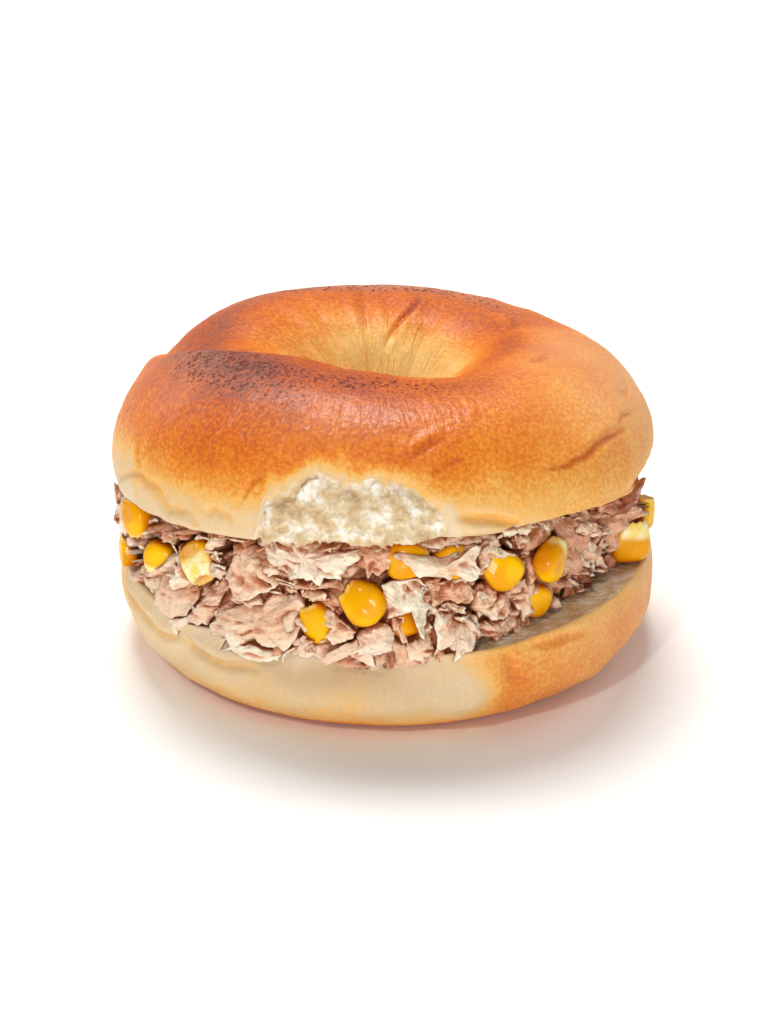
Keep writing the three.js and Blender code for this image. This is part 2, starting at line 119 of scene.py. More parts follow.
# Torn patch at the front of the crown: upper edge as (ring angle, section), its depth in mm, the section that
# it stays below, and the angles over which it grows shallow to the right
TEAR = [(242.5, -14), (244, -2), (245, 6.5), (246, 14), (250, 18), (253.5, 25.5), (256.5, 28.5), (259, 27),
        (263, 26), (270.5, 24.5), (273.5, 24.5), (277, 20), (281, 15.5), (283.5, 10), (285, 2), (286, -14)]
TEAR_DEPTH = 1.9
TEAR_TOP = 60
TEAR_SHALLOWS = (271, 285)

# How well baked the crown is along its section: sections, then shares from 0 for dough to 1 for black
BAKED = {
    "plain": ([-30, 0, 30, 60, 84, 98], [0.24, 0.36, 0.46, 0.56, 0.74, 0.6]),
    "front": ([-30, -6, 6, 16, 28, 42, 58, 80, 100], [0.1, 0.11, 0.21, 0.4, 0.53, 0.58, 0.62, 0.66, 0.63]),
    "right": ([-30, 0, 15, 45, 70, 90, 110], [0.28, 0.35, 0.4, 0.44, 0.48, 0.54, 0.5]),
    "wall": ([86, 98, 112, 126, 140, 156], [0.68, 0.65, 0.57, 0.39, 0.24, 0.16]),
    "seam": ([20, 48, 70, 84, 94, 106, 130], [0.46, 0.6, 0.71, 0.76, 0.66, 0.54, 0.38]),
}

# The same for the heel up its height in mm, where it is pale at the front and where it is tan
HEEL_PALE = ([0, 1.2, 3, 8, 13, 20], [0.74, 0.46, 0.26, 0.16, 0.13, 0.09])
HEEL_TAN = ([0, 1.2, 3, 8, 15, 19, 21], [0.74, 0.52, 0.44, 0.41, 0.41, 0.34, 0.28])

# Patches of the crown's crust: (ring angle, width, section, span, size)
SCORCHED = [(214, 32, 77, 24, 0.23), (248, 32, 88, 15, 0.06)]
DARK_SPOTS = [(216, 40, 78, 22, 1.5)]
FAINT_SPOTS = [(90, 56, 82, 14, 1.4), (266, 46, 88, 14, 1.15)]
GLOSSY = [(258, 48, 52, 26, 1.0)]
# Painted sheen: patches made paler and pinker where a soft highlight or grazing sheen falls on the crust
PAINTED_SHEEN = [(85, 50, 80, 12, 0.3), (258, 24, 54, 13, 0.14), (203, 20, 70, 18, 0.15)]

FILLING = {"radius": 47}
FILLING_OUTLINE = [(265, 38, 3.4), (322, 22, -2.4), (224, 14, 2.4), (188, 20, 4), (356, 18, 4), (90, 65, 2.6)]

# Radius at which distances along the edge of the filling are measured, and one a little inside the edge at
# which the heights of the cut faces are taken
WALL = 50
INSIDE = 49

# Slabs are (count, least length, greatest length); the flare spreads the mass over the lower rim
MASH = {"columns": (900, 265, 62, 2.4), "rows": 82, "seed": 26,
        "slabs": [(70, 12, 24), (150, 7, 13), (260, 3.5, 7), (200, 2, 4)],
        "flare": 3.4, "flare_at": 252, "flare_width": 50}

# Shares of the radius at which the mash has points on its hidden faces
MASH_SHARES = np.array([0.001, 0.03, 0.07, 0.11, 0.15, 0.19, 0.25, 0.36, 0.7, 0.9])[None, :]

# Grids are (rings, spokes), kinds of flake (count, first angle, last angle, least and greatest length)
SHEETS = {"grid": (11, 96), "seed": 8}
FLAKES = {"grid": (6, 34), "seed": 18,
          "kinds": [(110, 295, 575, 6, 17), (120, 205, 310, 2, 5), (60, 0, 360, 2, 5)]}
HOLE_FLAKES = {"count": 16, "reach": 8, "length": 7}
SHREDS = {"count": 300, "sides": 5, "steps": 8, "seed": 12}
KERNEL = {"length": 9.6, "boxiness": 3.0, "cut_at": -0.82, "cut_width": 0.66,
          "rings": 30, "spokes": 44, "seed": 5}

# Radii round a kernel, as multiples of its size, inside which the mash gives way fully and at all
POCKET = (4.0, 7.2)

# Kernels that show more of their pale end: share of the length, and the share of the others
PALE_ENDS = {"sweetcorn_01": 0.75, "sweetcorn_10": 0.5, "sweetcorn_12": 0.6, "sweetcorn_05": 0.55}
PALE_END = 0.3

# Sheets of tuna at the front, outlined by pixels of the photograph. They stand out by `out` mm, and `plane`
# is the place along Y of an upright one that sticks out of the side.
# A low tone stands partly for painted shade, on sheets that lie in shade under the crown's edge or at the
# right
FRONT_SHEETS = [
    {"plane": -7, "out": 1.0, "tone": 1.1, "outline": [(106, 492), (114, 488), (128, 486), (140, 492),
        (140, 510), (132, 523), (117, 524), (107, 518), (114, 514), (113, 503)]},
    {"out": 0.6, "tone": 0.2, "outline": [(146, 522), (160, 522), (180, 528), (204, 527), (208, 534),
        (188, 534), (170, 541), (158, 537), (146, 531)]},
    {"out": 1.2, "tone": 0.7, "outline": [(140, 566), (150, 560), (158, 556), (180, 552), (188, 562),
        (184, 580), (162, 596), (146, 590), (139, 578)]},
    {"out": 2.2, "tone": 0.5, "outline": [(160, 570), (176, 568), (194, 582), (198, 598), (194, 612),
        (176, 616), (162, 610), (158, 594), (156, 582)]},
    {"out": 1.8, "tone": 0.6, "outline": [(210, 584), (220, 578), (221, 602), (218, 614), (206, 622),
        (194, 617), (200, 606), (209, 594)]},
    {"out": 3.2, "tone": 1.0, "outline": [(164, 620), (176, 615), (192, 616), (190, 624), (176, 630),
        (166, 630)]},
    {"out": 1.4, "tone": 0.6, "thick": 3.0, "outline": [(230, 556), (240, 548), (252, 550), (270, 564),
        (280, 578), (276, 588), (260, 594), (244, 598), (234, 588), (228, 574)]},
    {"out": 2.0, "tone": 0.5, "outline": [(218, 620), (226, 610), (240, 604), (256, 596), (274, 590),
        (278, 600), (300, 600), (302, 614), (298, 630), (300, 636), (289, 647), (286, 640), (272, 641),
        (262, 636), (240, 633), (220, 630)]},
    {"out": 2.2, "tone": 1.2, "outline": [(252, 547), (260, 538), (276, 541), (308, 540), (318, 550),
        (330, 556), (352, 553), (362, 556), (361, 562), (340, 574), (310, 579), (298, 576), (290, 580),
        (286, 574), (272, 564), (258, 554)]},
    {"out": 1.6, "tone": 0.5, "outline": [(284, 583), (304, 579), (338, 581), (341, 588), (326, 587),
        (304, 592), (290, 590)]},
    {"out": 2.0, "tone": 0.7, "outline": [(298, 592), (316, 588), (328, 594), (328, 600), (312, 602),
        (300, 599)]},
    {"out": 0.8, "tone": 0.4, "outline": [(347, 548), (356, 541), (372, 540), (390, 541), (394, 552),
        (388, 566), (378, 574), (366, 568), (362, 556)]},
    {"out": 2.6, "tone": 1.0, "outline": [(382, 586), (396, 584), (410, 583), (420, 581), (428, 590),
        (430, 600), (428, 614), (423, 636), (419, 634), (420, 618), (413, 612), (398, 616), (388, 618),
        (386, 602)]},
    {"out": 4.4, "tone": 0.8, "outline": [(392, 558), (424, 561), (446, 565), (464, 560), (480, 550),
        (486, 554), (480, 570), (480, 580), (472, 584), (456, 581), (438, 583), (420, 580), (410, 572)]},
    {"out": 1.2, "tone": 0.4, "outline": [(428, 588), (446, 584), (470, 586), (478, 594), (470, 604),
        (450, 602), (432, 606)]},
    {"out": 2.6, "tone": 0.7, "thick": 3.0, "outline": [(358, 634), (372, 624), (388, 625), (395, 634),
        (392, 646), (380, 652), (364, 649)]},
    {"out": 2.6, "tone": 0.9, "outline": [(438, 618), (458, 617), (480, 620), (483, 628), (476, 640),
        (466, 650), (451, 659), (455, 647), (446, 645), (432, 653), (438, 641), (435, 629)]},
    {"out": 2.8, "tone": 0.6, "outline": [(404, 646), (416, 640), (430, 636), (434, 650), (420, 657),
        (408, 655)]},
    {"out": 3.0, "tone": 0.9, "outline": [(486, 559), (490, 554), (498, 551), (510, 556), (524, 563),
        (512, 565), (496, 566), (489, 573), (485, 574)]},
    {"out": 2.2, "tone": 0.6, "outline": [(519, 592), (536, 586), (552, 588), (562, 583), (560, 591),
        (554, 600), (543, 609), (534, 624), (529, 614), (519, 608), (515, 600)]},
    {"out": 1.6, "tone": 0.6, "thick": 2.6, "outline": [(474, 598), (486, 590), (504, 592), (516, 597),
        (518, 606), (508, 618), (492, 620), (474, 611)]},
    {"out": 2.2, "tone": 1.0, "outline": [(442, 607), (458, 605), (470, 618), (461, 614), (450, 611)]},
    {"out": 2.4, "tone": 0.5, "outline": [(484, 628), (500, 625), (514, 623), (522, 632), (512, 640),
        (492, 643), (481, 636)]},
    {"out": 1.8, "tone": 0.4, "thick": 2.6, "outline": [(560, 580), (578, 560), (598, 550), (608, 554),
        (607, 578), (592, 582), (578, 585), (564, 586)]},
    {"out": 2.6, "tone": 0.8, "outline": [(608, 545), (613, 546), (620, 560), (624, 577), (618, 573),
        (611, 560)]},
    {"out": 3.6, "tone": 0.7, "outline": [(602, 541), (608, 532), (614, 528), (622, 531), (630, 535),
        (624, 540), (614, 542)]},
    {"plane": -16, "out": 1.0, "tone": -0.25, "thick": 3, "outline": [(592, 520), (598, 505), (610, 495),
        (628, 487), (646, 484), (641, 498), (628, 514), (612, 521), (600, 528)]},
    {"out": 1.4, "tone": 0.2, "outline": [(574, 528), (592, 526), (608, 528), (600, 537), (604, 543),
        (596, 550), (580, 558), (576, 544)]},
    {"out": 2.6, "tone": 0.9, "outline": [(591, 585), (602, 591), (613, 601), (604, 599), (590, 590)]},
    {"out": 2.0, "tone": 0.8, "outline": [(557, 592), (560, 600), (562, 609), (558, 606), (555, 598)]},
    {"out": 1.6, "tone": 0.4, "outline": [(560, 588), (578, 583), (590, 590), (582, 597), (566, 598)]},
    {"out": 0.6, "tone": 0.2, "outline": [(518, 536), (526, 528), (540, 523), (541, 536), (536, 547),
        (524, 551)]},
    {"out": 3.0, "tone": 0.6, "outline": [(321, 657), (336, 646), (356, 637), (370, 645), (377, 664),
        (362, 657), (352, 650), (338, 654), (328, 661)]},
    {"out": 2.8, "tone": 0.7, "outline": [(318, 609), (330, 613), (350, 627), (355, 635), (336, 641),
        (329, 635), (332, 624), (322, 622)]},
    {"out": 1.0, "tone": 0.5, "outline": [(388, 602), (396, 612), (412, 624), (404, 640), (392, 630),
        (388, 615)]},
    {"out": 1.8, "tone": 0.9, "outline": [(240, 640), (262, 642), (288, 650), (282, 658), (262, 659),
        (246, 655), (232, 646)]},
]

CAMERA = {"elevation": 25, "distance": 700, "aim_height": 25.7, "pixels_per_mm": 4.88}
PICTURE_WIDTH, PICTURE_HEIGHT = 769, 1024
SENSOR = 36

# Lights, which all face one place, and the share of light from all round
LIGHT_AIM = (0, 0, 0.03)
LIGHTS = [
    {"name": "key", "place": (-0.12, 0.54, 1.28), "size": 0.7, "power": 17.5, "colour": (1.0, 0.99, 0.97)},
    {"name": "left", "place": (-0.97, 0.7, 0.55), "size": 0.7, "power": 4.8},
    {"name": "right", "place": (0.92, 0.8, 0.6), "size": 0.7, "power": 3.6},
    {"name": "top", "place": (0.15, -0.3, 1.6), "size": 1.2, "power": 1.5},
    {"name": "fill", "place": (0.06, -1.45, 0.24), "size": 0.46, "power": 10.2},
    {"name": "glint", "place": (-0.42, -0.9, 1.0), "size": 0.09, "power": 3.4},
]
SURROUNDING_LIGHT = 0.12
FLOOR_SIDE = 6.0

# Colours as red, green and blue from 0 to 255, ramps with the value at which each stands
BAKE = [(0.0, (229, 210, 180)), (0.15, (223, 195, 150)), (0.3, (238, 180, 90)), (0.44, (228, 138, 36)),
        (0.56, (213, 107, 18)), (0.68, (184, 84, 30)), (0.82, (144, 72, 54)), (1.0, (90, 46, 40))]
# Tints over the crust: painted sheen (paler, pinker, for soft highlights and grazing sheen), painted shade
# (in the crumb's pits and under the filling), and gold deep down the hole
CRUST_TINTS = {"painted_sheen": (238, 188, 150), "painted_shade": (190, 154, 110), "gold": (255, 216, 128)}
SPOT = (104, 28, 10)
CRUMB = [(0.3, (202, 166, 118)), (0.5, (227, 204, 164)), (0.66, (254, 246, 232))]
# Painted shade of the crumb
CRUMB_PAINTED_SHADE = (186, 142, 94)
CORN_SKIN = [(0.2, (212, 126, 0)), (0.5, (236, 164, 0)), (0.8, (255, 204, 6))]
# Painted shade of the kernels' sides
CORN_SIDE_SHADE = (208, 118, 0)
CORN_TIP = [(255, 222, 110), (255, 246, 196)]
CORN_CUP = (214, 132, 18)
# Painted shade between kernels and filling
CORN_GAP_SHADE = (196, 92, 0)
TUNA = [(0.0, (150, 76, 42)), (0.2, (210, 148, 110)), (0.4, (234, 180, 144)), (0.6, (250, 214, 178)),
        (0.85, (255, 241, 214))]
TUNA_ROSY = (230, 176, 152)
# Painted shade of the tuna: dimmer where partly closed in, brown in the gaps, and under the crown's overhang
TUNA_DIM_SHADE, TUNA_GAP_SHADE, TUNA_SHADE = (208, 120, 66), (112, 44, 16), (150, 80, 44)
FLOOR = [(250, 249, 248), (253, 252, 251)]


# Arithmetic on whole arrays

def bell(x):
    return np.exp(-x * x)


def smoothstep(x, low, high):
    t = np.clip((x - low) / (high - low), 0, 1)
    return t * t * (3 - 2 * t)


def turn_between(a, b):
    return (a - b + 180) % 360 - 180


def near(angle, at, width):
    """1 at one angle round the ring, falling off over a width in degrees."""
    return bell(turn_between(angle, at) / width)


def swell(angle, lobes):
    return sum(size * near(angle, at, width) for at, width, size in lobes)


def signed_power(x, power):
    return np.sign(x) * np.abs(x) ** power


def turned(x, y, turn):
    """Distances along and across a direction, which is an angle in radians."""
    c, s = math.cos(turn), math.sin(turn)
    return x * c + y * s, y * c - x * s


def unit_vectors(count, seed):
    directions = np.random.default_rng(seed).normal(size=(count, 3))
    return directions / np.linalg.norm(directions, axis=1, keepdims=True)


# Slopes of the noise, and odd numbers that scatter them over its cells
GRADIENTS = unit_vectors(256, 3)
SCATTER = (73856093, 19349663, 83492791)
SCATTER_SEED, SCATTER_AGAIN = 2654435761, 1274126177


def noise(points, size, seed=0):
    """Smooth gradient noise from about -1 to 1, whose lumps are `size` across."""
    p = np.asarray(points, float) / size
    cell = np.floor(p).astype(np.int64)
    f = p - cell
    fade = f * f * f * (f * (f * 6 - 15) + 10)
    total = np.zeros(p.shape[:-1])
    for corner in product((0, 1), repeat=3):
        c = (cell + np.array(corner)) * np.array(SCATTER)
        mixed = c[..., 0] ^ c[..., 1] ^ c[..., 2] ^ (seed * SCATTER_SEED)
        mixed = (mixed ^ (mixed >> 13)) * SCATTER_AGAIN
        gradient = GRADIENTS[(mixed ^ (mixed >> 16)) & 255]
        weight = np.prod(np.where(np.array(corner) == 1, fade, 1 - fade), axis=-1)
        total += weight * np.einsum("...i,...i", gradient, f - np.array(corner))
    return total * 1.6


def layered(points, size, octaves=3, seed=0, fall=0.5):
    """Noise with finer noise on top."""
    return sum(fall ** i * noise(points, size * 0.5 ** i, seed + i) for i in range(octaves))


def ridged(points, size, octaves=3, seed=0):
    """Noise with sharp crests, from about -1 to 1."""
    return sum(0.5 ** i * (0.6 - 2 * np.abs(noise(points, size * 0.5 ** i, seed + i)))
               for i in range(octaves))


def uneven_steps(count, dense_at, width, density):
    """Angles right round the ring, `density` times closer together near one angle."""
    fine = np.linspace(0, 360, 3601)
    share = np.cumsum(1 + (density - 1) * near(fine, dense_at, width))
    share = (share - share[0]) / (share[-1] - share[0])
    return np.interp(np.arange(count) / count, share, fine)


def on_ring(angle, radius, z):
    a = np.radians(angle)
    return np.stack(np.broadcast_arrays(radius * np.cos(a), radius * np.sin(a), z), axis=-1)


def within(points, limit, spare):
    """Eases points that are further out than a radius back to at most `spare` beyond it."""
    radius = np.hypot(points[..., 0], points[..., 1])
    eased = np.minimum(radius, limit) + spare * np.tanh(np.maximum(radius - limit, 0) / (2 * spare))
    share = eased / np.maximum(radius, 1e-9)
    return points * np.stack([share, share, np.ones_like(share)], -1)


def path_distance(dough, path):
    """Distance in mm to a line on the dough, which side of it each point is, and 0 at the line's ends."""
    angle, section, scale = dough["angle"], dough["section"], dough["scale"]
    best = np.full(angle.shape, 1e9)
    side = np.zeros(angle.shape)
    inner = np.zeros(angle.shape)
    lengths = [math.hypot(b[0] - a[0], b[1] - a[1]) for a, b in zip(path, path[1:])]
    done, total = 0, sum(lengths)
    for (a, b), length in zip(zip(path, path[1:]), lengths):
        ax, ay = turn_between(angle, a[0]) * scale[0], (section - a[1]) * scale[1]
        bx, by = (b[0] - a[0]) * scale[0], (b[1] - a[1]) * scale[1]
        t = np.clip((ax * bx + ay * by) / (bx * bx + by * by), 0, 1)
        distance = np.hypot(ax - t * bx, ay - t * by)
        nearer = distance < best
        best = np.where(nearer, distance, best)
        side = np.where(nearer, np.sign(bx * ay - by * ax), side)
        share = (done + t * length) / total
        inner = np.where(nearer, 1 - np.abs(2 * share - 1) ** 3, inner)
        done += length
    return best, side, inner


def fold_height(angle, section, folds):
    out = 0
    for at, width, middle, span, size, slant in folds:
        across = turn_between(angle, at + slant * (section - middle)) / width
        out = out + size * bell(across) * bell((section - middle) / span)
    return out


def crease_height(dough, creases):
    """Cut lines with a swelling beside them, and how deep in a crease each point is, from 0 to 1."""
    out = np.zeros(dough["angle"].shape)
    inside = np.zeros(dough["angle"].shape)
    wander = 0.35 * noise(dough["points"], 3.0, 40)
    for crease in creases:
        width = crease["width"]
        distance, side, inner = path_distance(dough, crease["path"])
        distance = np.abs(distance + wander * side)
        cut = bell(distance / width) * inner
        swelling = bell((distance - 2 * width) / (1.8 * width)) * inner
        raised = np.where(side * np.sign(crease["lip"]) > 0, swelling, 0.25 * swelling)
        out += abs(crease["lip"]) * raised - crease["depth"] * cut
        inside = np.maximum(inside, cut * min(1, crease["depth"]))
    return out, inside


def strongest(dough, patches):
    """The strongest of some soft-edged patches at each point of the dough."""
    return np.max([size * near(dough["angle"], at, width) * bell((dough["section"] - section) / span)
                   for at, width, section, span, size in patches], axis=0)


# The two halves of the bagel

def crust_angles(start, end, grid):
    """Angles round the dough over the crust, in radians, and the share of the way that each is."""
    step = np.linspace(0, 1, grid["crust"])[None, :]
    first = grid["first_step"]
    return start + (end - start) * (first * step + (1 - first) * step * step), step


def crown_dough():
    """Smooth upper half: the crust from the outer cut edge over the crest, then the cut face."""
    angles = uneven_steps(*CROWN_GRID["columns"])
    angle = angles[:, None]
    outer = CROWN["radius"] + swell(angle, CROWN_OUTLINE)
    hole = CROWN["hole"] + swell(angle, CROWN_HOLE)
    height = CROWN["height"] + swell(angle, CROWN_CREST)
    depth = CROWN["depth"] + swell(angle, CROWN_UNDERSIDE)
    start = -np.arcsin((CROWN["equator"] - swell(angle, CROWN_CUT)) / depth)
    end = np.pi + np.arcsin(CROWN["equator"] / depth)
    phi, step = crust_angles(start, end, CROWN_GRID)
    reach = np.where(np.cos(phi) > 0, outer - CROWN["rope"], CROWN["rope"] - hole)
    rise = np.where(np.sin(phi) > 0, height - CROWN["equator"], depth)
    out = fold_height(angle, np.degrees(phi), CROWN_FOLDS)
    out = out * smoothstep(step, 0, 0.03) * smoothstep(step, 1, 0.97)
    radius = CROWN["rope"] + (reach + out) * np.cos(phi)
    z = CROWN["equator"] + rise * np.sin(phi) + out * np.clip(np.sin(phi), 0, 1)
    return dough_of(angles, radius, z, CROWN, CROWN_GRID)


def heel_dough():
    """Smooth lower half: from the inner cut edge round the flat base to the rim, then the cut face."""
    angles = uneven_steps(*HEEL_GRID["columns"])
    angle = angles[:, None]
    outer = HEEL["radius"] + swell(angle, HEEL_OUTLINE)
    rim = HEEL["height"] + swell(angle, HEEL_RIM)
    start = -np.pi - np.arcsin((HEEL["height"] - HEEL["equator"]) / HEEL["depth"])
    end = np.arcsin((rim - HEEL["equator"]) / HEEL["depth"])
    phi, _ = crust_angles(start, end, HEEL_GRID)
    reach = np.where(np.cos(phi) > 0, outer - HEEL["rope"], HEEL["rope"] - HEEL["hole"])
    power = np.where(np.sin(phi) < 0, 2 / HEEL["squareness"], 1)
    z = HEEL["equator"] + HEEL["depth"] * signed_power(np.sin(phi), power)
    radius = HEEL["rope"] + reach * signed_power(np.cos(phi), power)
    section = np.degrees(np.arctan2(z - HEEL["equator"], radius - HEEL["rope"]))
    out = np.where(radius > HEEL["rope"], fold_height(angle, section, HEEL_FOLDS), 0)
    return dough_of(angles, radius + out, np.maximum(z, 0), HEEL, HEEL_GRID)


def dough_of(angles, radius, z, half, grid):
    """The crust closed by its cut face, and what the relief and the colours are worked out from."""
    across = np.linspace(0, 1, grid["cut"] + 2)[None, 1:-1]
    radius, z = (np.hstack([v, v[:, -1:] + (v[:, :1] - v[:, -1:]) * across]) for v in (radius, z))
    angle = np.broadcast_to(angles[:, None], radius.shape)
    points = on_ring(angle, radius, z)
    along = np.roll(points, -1, 0) - np.roll(points, 1, 0)
    round_dough = np.roll(points, -1, 1) - np.roll(points, 1, 1)
    normal = np.cross(along, round_dough)
    normal /= np.maximum(np.linalg.norm(normal, axis=-1, keepdims=True), 1e-9)
    rise, reach = z - half["equator"], radius - half["rope"]
    scale = (np.radians(radius), np.radians(np.hypot(rise, reach)))
    return {"angle": angle, "section": np.degrees(np.arctan2(rise, reach)), "radius": radius, "z": z,
            "points": points, "normal": normal, "scale": scale,
            "crust": np.broadcast_to(np.arange(radius.shape[1]) < grid["crust"], radius.shape)}


def tear_rise(dough):
    """How far a point is inside the torn patch, in degrees of section, below 0 outside."""
    angles, tops = zip(*TEAR)
    ragged = 4.0 * layered(dough["points"], 5.0, 4, 7, 0.6)
    return np.interp(dough["angle"], angles, tops, left=-90, right=-90) - dough["section"] + ragged


def tear_depth(dough, rise):
    """How far the torn patch lies under the crust, most of all below its left edge."""
    angle, section = dough["angle"], dough["section"]
    depth = TEAR_DEPTH * (0.35 + 1.1 * near(angle, 250, 9) * bell((rise - 2.5) / 4))
    return depth * smoothstep(section, -12, -4) * (0.4 + 0.6 * smoothstep(section, 6, 14))


def seam_side(dough):
    """Degrees round the ring from the seam, positive on the front lobe."""
    return turn_between(dough["angle"], SEAM["at"] + SEAM["slant"] * (dough["section"] - SEAM["section"]))


def seam_height(dough):
    across = seam_side(dough)
    width = np.where(across > 0, SEAM["front"], SEAM["back"])
    section = dough["section"]
    along = smoothstep(section, 18, 80) * smoothstep(section, 160, 112)
    close = np.exp(-np.abs(across) / width) * (np.abs(across) < 120)
    bulge = 0.7 * bell((across - 10) / 8) * along * smoothstep(np.abs(section - 86), 4, 26)
    return bulge - SEAM["depth"] * close * along


def crumb_relief(points, seed):
    """Torn, open crumb: stringy webs with pits between them."""
    wandering = points + 1.8 * np.stack([noise(points, 3.4, seed + i) for i in (1, 2, 3)], -1)
    webs = ridged(wandering * np.array([0.75, 0.75, 1.7]), 3.4, 4, seed)
    pits = -1.1 * np.clip(noise(wandering * np.array([0.8, 0.8, 1.5]), 2.4, seed + 9) - 0.3, 0, 1)
    strings = 0.5 * noise(wandering @ np.array([[1, 0.6, 0], [0, 0.5, 0], [0, 0.8, 0.6]]), 1.1, seed + 6)
    return 0.62 * webs + pits + 0.7 * strings + noise(points * np.array([1, 1, 1.3]), 8, seed + 4)


def crown_relief(dough, rise, creases):
    """Lumps, lap, creases and streaks of the crust, and the unevenness of the cut face."""
    section, points = dough["section"], dough["points"]
    inner_wall = smoothstep(section, 105, 130) * smoothstep(section, 178, 150)
    streaks = noise(np.stack([dough["angle"] * 0.55, section * 0.07, 0 * section], -1), 1, 21)
    lumps = 0.3 * layered(points, 13, 2, 2) + 0.1 * layered(points, 3.5, 2, 5)
    lumps = lumps * (1 - 0.7 * bell((section - 90) / 18)) - 0.1 * bell((section - 88) / 14)
    lip = 0.3 * bell((rise + 2.0) / 2.6) * (section < TEAR_TOP) * smoothstep(dough["angle"], 256, 248)
    relief = seam_height(dough) + creases + lumps + 0.06 * inner_wall * streaks + lip
    return np.where(dough["crust"], relief, 0.35 * layered(points, 2.4, 3, 11))


def build_crown():
    dough = crown_dough()
    rise = tear_rise(dough)
    shallow = smoothstep(dough["angle"], *TEAR_SHALLOWS)
    torn = smoothstep(rise, -0.8, 3.2 + 9 * shallow) * dough["crust"] * (dough["section"] < TEAR_TOP)
    creases, in_crease = crease_height(dough, CROWN_CREASES)
    webs = crumb_relief(dough["points"], 31) * (1 - 0.65 * shallow)
    relief = crown_relief(dough, rise, creases) * (1 - torn) + torn * (webs - tear_depth(dough, rise))
    moved = dough["points"] + dough["normal"] * relief[..., None]
    lifted = moved @ crown_turn().T + np.array([0, 0, CROWN["lift"]])
    fields = crown_fields(dough, rise, torn, in_crease)
    # Painted shade: the torn crumb darker in its deep pits
    fields["painted_shade"] = torn * smoothstep(webs, -0.2, -1.5)
    return make_half("bagel_crown", lifted, fields, 0.06, "bagel_top")


def crown_turn():
    lean, roll = -math.radians(CROWN["lean"]), -math.radians(CROWN["roll"])
    about_x = np.array([[1, 0, 0], [0, math.cos(lean), -math.sin(lean)], [0, math.sin(lean), math.cos(lean)]])
    about_y = np.array([[math.cos(roll), 0, math.sin(roll)], [0, 1, 0], [-math.sin(roll), 0, math.cos(roll)]])
    return about_x @ about_y


def baked_towards(bake, section, kind, share):
    return bake + (np.interp(section, *BAKED[kind]) - bake) * share


def crown_bake(dough, rise, behind, left):
    """How well baked the crust is, from 0 for dough to 1 for black."""
    angle, section, points = dough["angle"], dough["section"], dough["points"]
    front = np.clip(1.3 * near(angle, 258, 55), 0, 1)
    right = np.clip(1.25 * near(angle, 345, 45), 0, 1)
    inward = smoothstep(section, 92, 108) * (1 - 0.8 * front)
    bake = np.interp(section, *BAKED["plain"])
    bake = baked_towards(bake, section, "front", front)
    bake = baked_towards(bake, section, "right", right)
    bake = baked_towards(bake, section, "wall", inward) + 0.07 * near(angle, 10, 50) * inward
    bake = baked_towards(bake, section, "seam", behind)
    bake = bake + left * (0.07 * bell((section - 38) / 16) - 0.14 * smoothstep(section, 30, 8))
    dark = strongest(dough, SCORCHED) * (1 - behind)
    bake = bake + dark * (1 + 0.5 * layered(points, 7, 2, 63)) + 0.06 * layered(points, 15, 2, 61)
    halo = smoothstep(rise, -11, 0) * smoothstep(angle, 240, 251) * (1 - 0.7 * smoothstep(angle, 268, 281))
    return bake - 0.3 * halo * (section < TEAR_TOP)


def crown_fields(dough, rise, torn, in_crease):
    """Where the crown is pale or dark, glossy, spotted or crumb, with painted shade in the creases and
    painted sheen on some patches.
    """
    angle, section, points = dough["angle"], dough["section"], dough["points"]
    behind = smoothstep(seam_side(dough), 0.5, -3) * smoothstep(turn_between(angle, 100), 0, 40)
    left = near(angle, 198, 13)
    bake = crown_bake(dough, rise, behind, left)
    # Painted shade: crust darker in its creases
    bake = bake + (0.03 + 0.34 * np.clip(bake, 0, 1)) * in_crease
    spots = strongest(dough, DARK_SPOTS) * (1 - 0.8 * behind) * (1 + 0.4 * noise(points, 5, 65))
    wall_gloss = 0.6 * smoothstep(section, 105, 125) * near(angle, 90, 70)
    crumb = np.where(dough["crust"], torn * (1 - 0.6 * smoothstep(angle, 272, 286)), 1.0)
    # Painted sheen: paler, pinker crust towards the right of the crown
    painted_sheen = 0.3 * near(angle, 352, 32) * smoothstep(section, 0, 40) * smoothstep(section, 104, 76)
    gold = 0.8 * smoothstep(section, 120, 146) * near(angle, 88, 62) * (1 + 0.6 * layered(points, 6, 2, 67))
    return {"bake": bake, "gold": gold, "painted_sheen": np.maximum(painted_sheen, strongest(dough, PAINTED_SHEEN)), "crumb": crumb,
            "gloss": np.maximum(strongest(dough, GLOSSY), wall_gloss),
            "blister": np.maximum(spots, strongest(dough, FAINT_SPOTS)), "streak": left + 0.12,
            "lay": lay_of(dough)}


def lay_of(dough):
    """Place on the dough as if it were unrolled, which wrinkles and streaks follow."""
    return on_ring(dough["angle"], 45, np.radians(dough["section"]) * 23)


def build_heel():
    dough = heel_dough()
    points = dough["points"]
    creases, in_crease = crease_height(dough, HEEL_CREASES)
    lumps = 0.45 * layered(points, 11, 2, 71) + 0.13 * layered(points, 3.2, 2, 73)
    crust = (creases + lumps) * smoothstep(dough["z"], 0.4, 4)
    crumb = 0.3 * layered(points, 1.4, 3, 81) + 0.3 * noise(points, 4, 85) - 0.25
    relief = np.where(dough["crust"], crust, crumb * smoothstep(dough["radius"], 54, 50.5))
    moved = points + dough["normal"] * relief[..., None]
    moved[..., 2] = np.maximum(moved[..., 2], 0)
    fields = heel_fields(dough, in_crease)
    return make_half("bagel_heel", within(moved, *CRUST_LIMIT), fields, 0.03, "bagel_bottom")


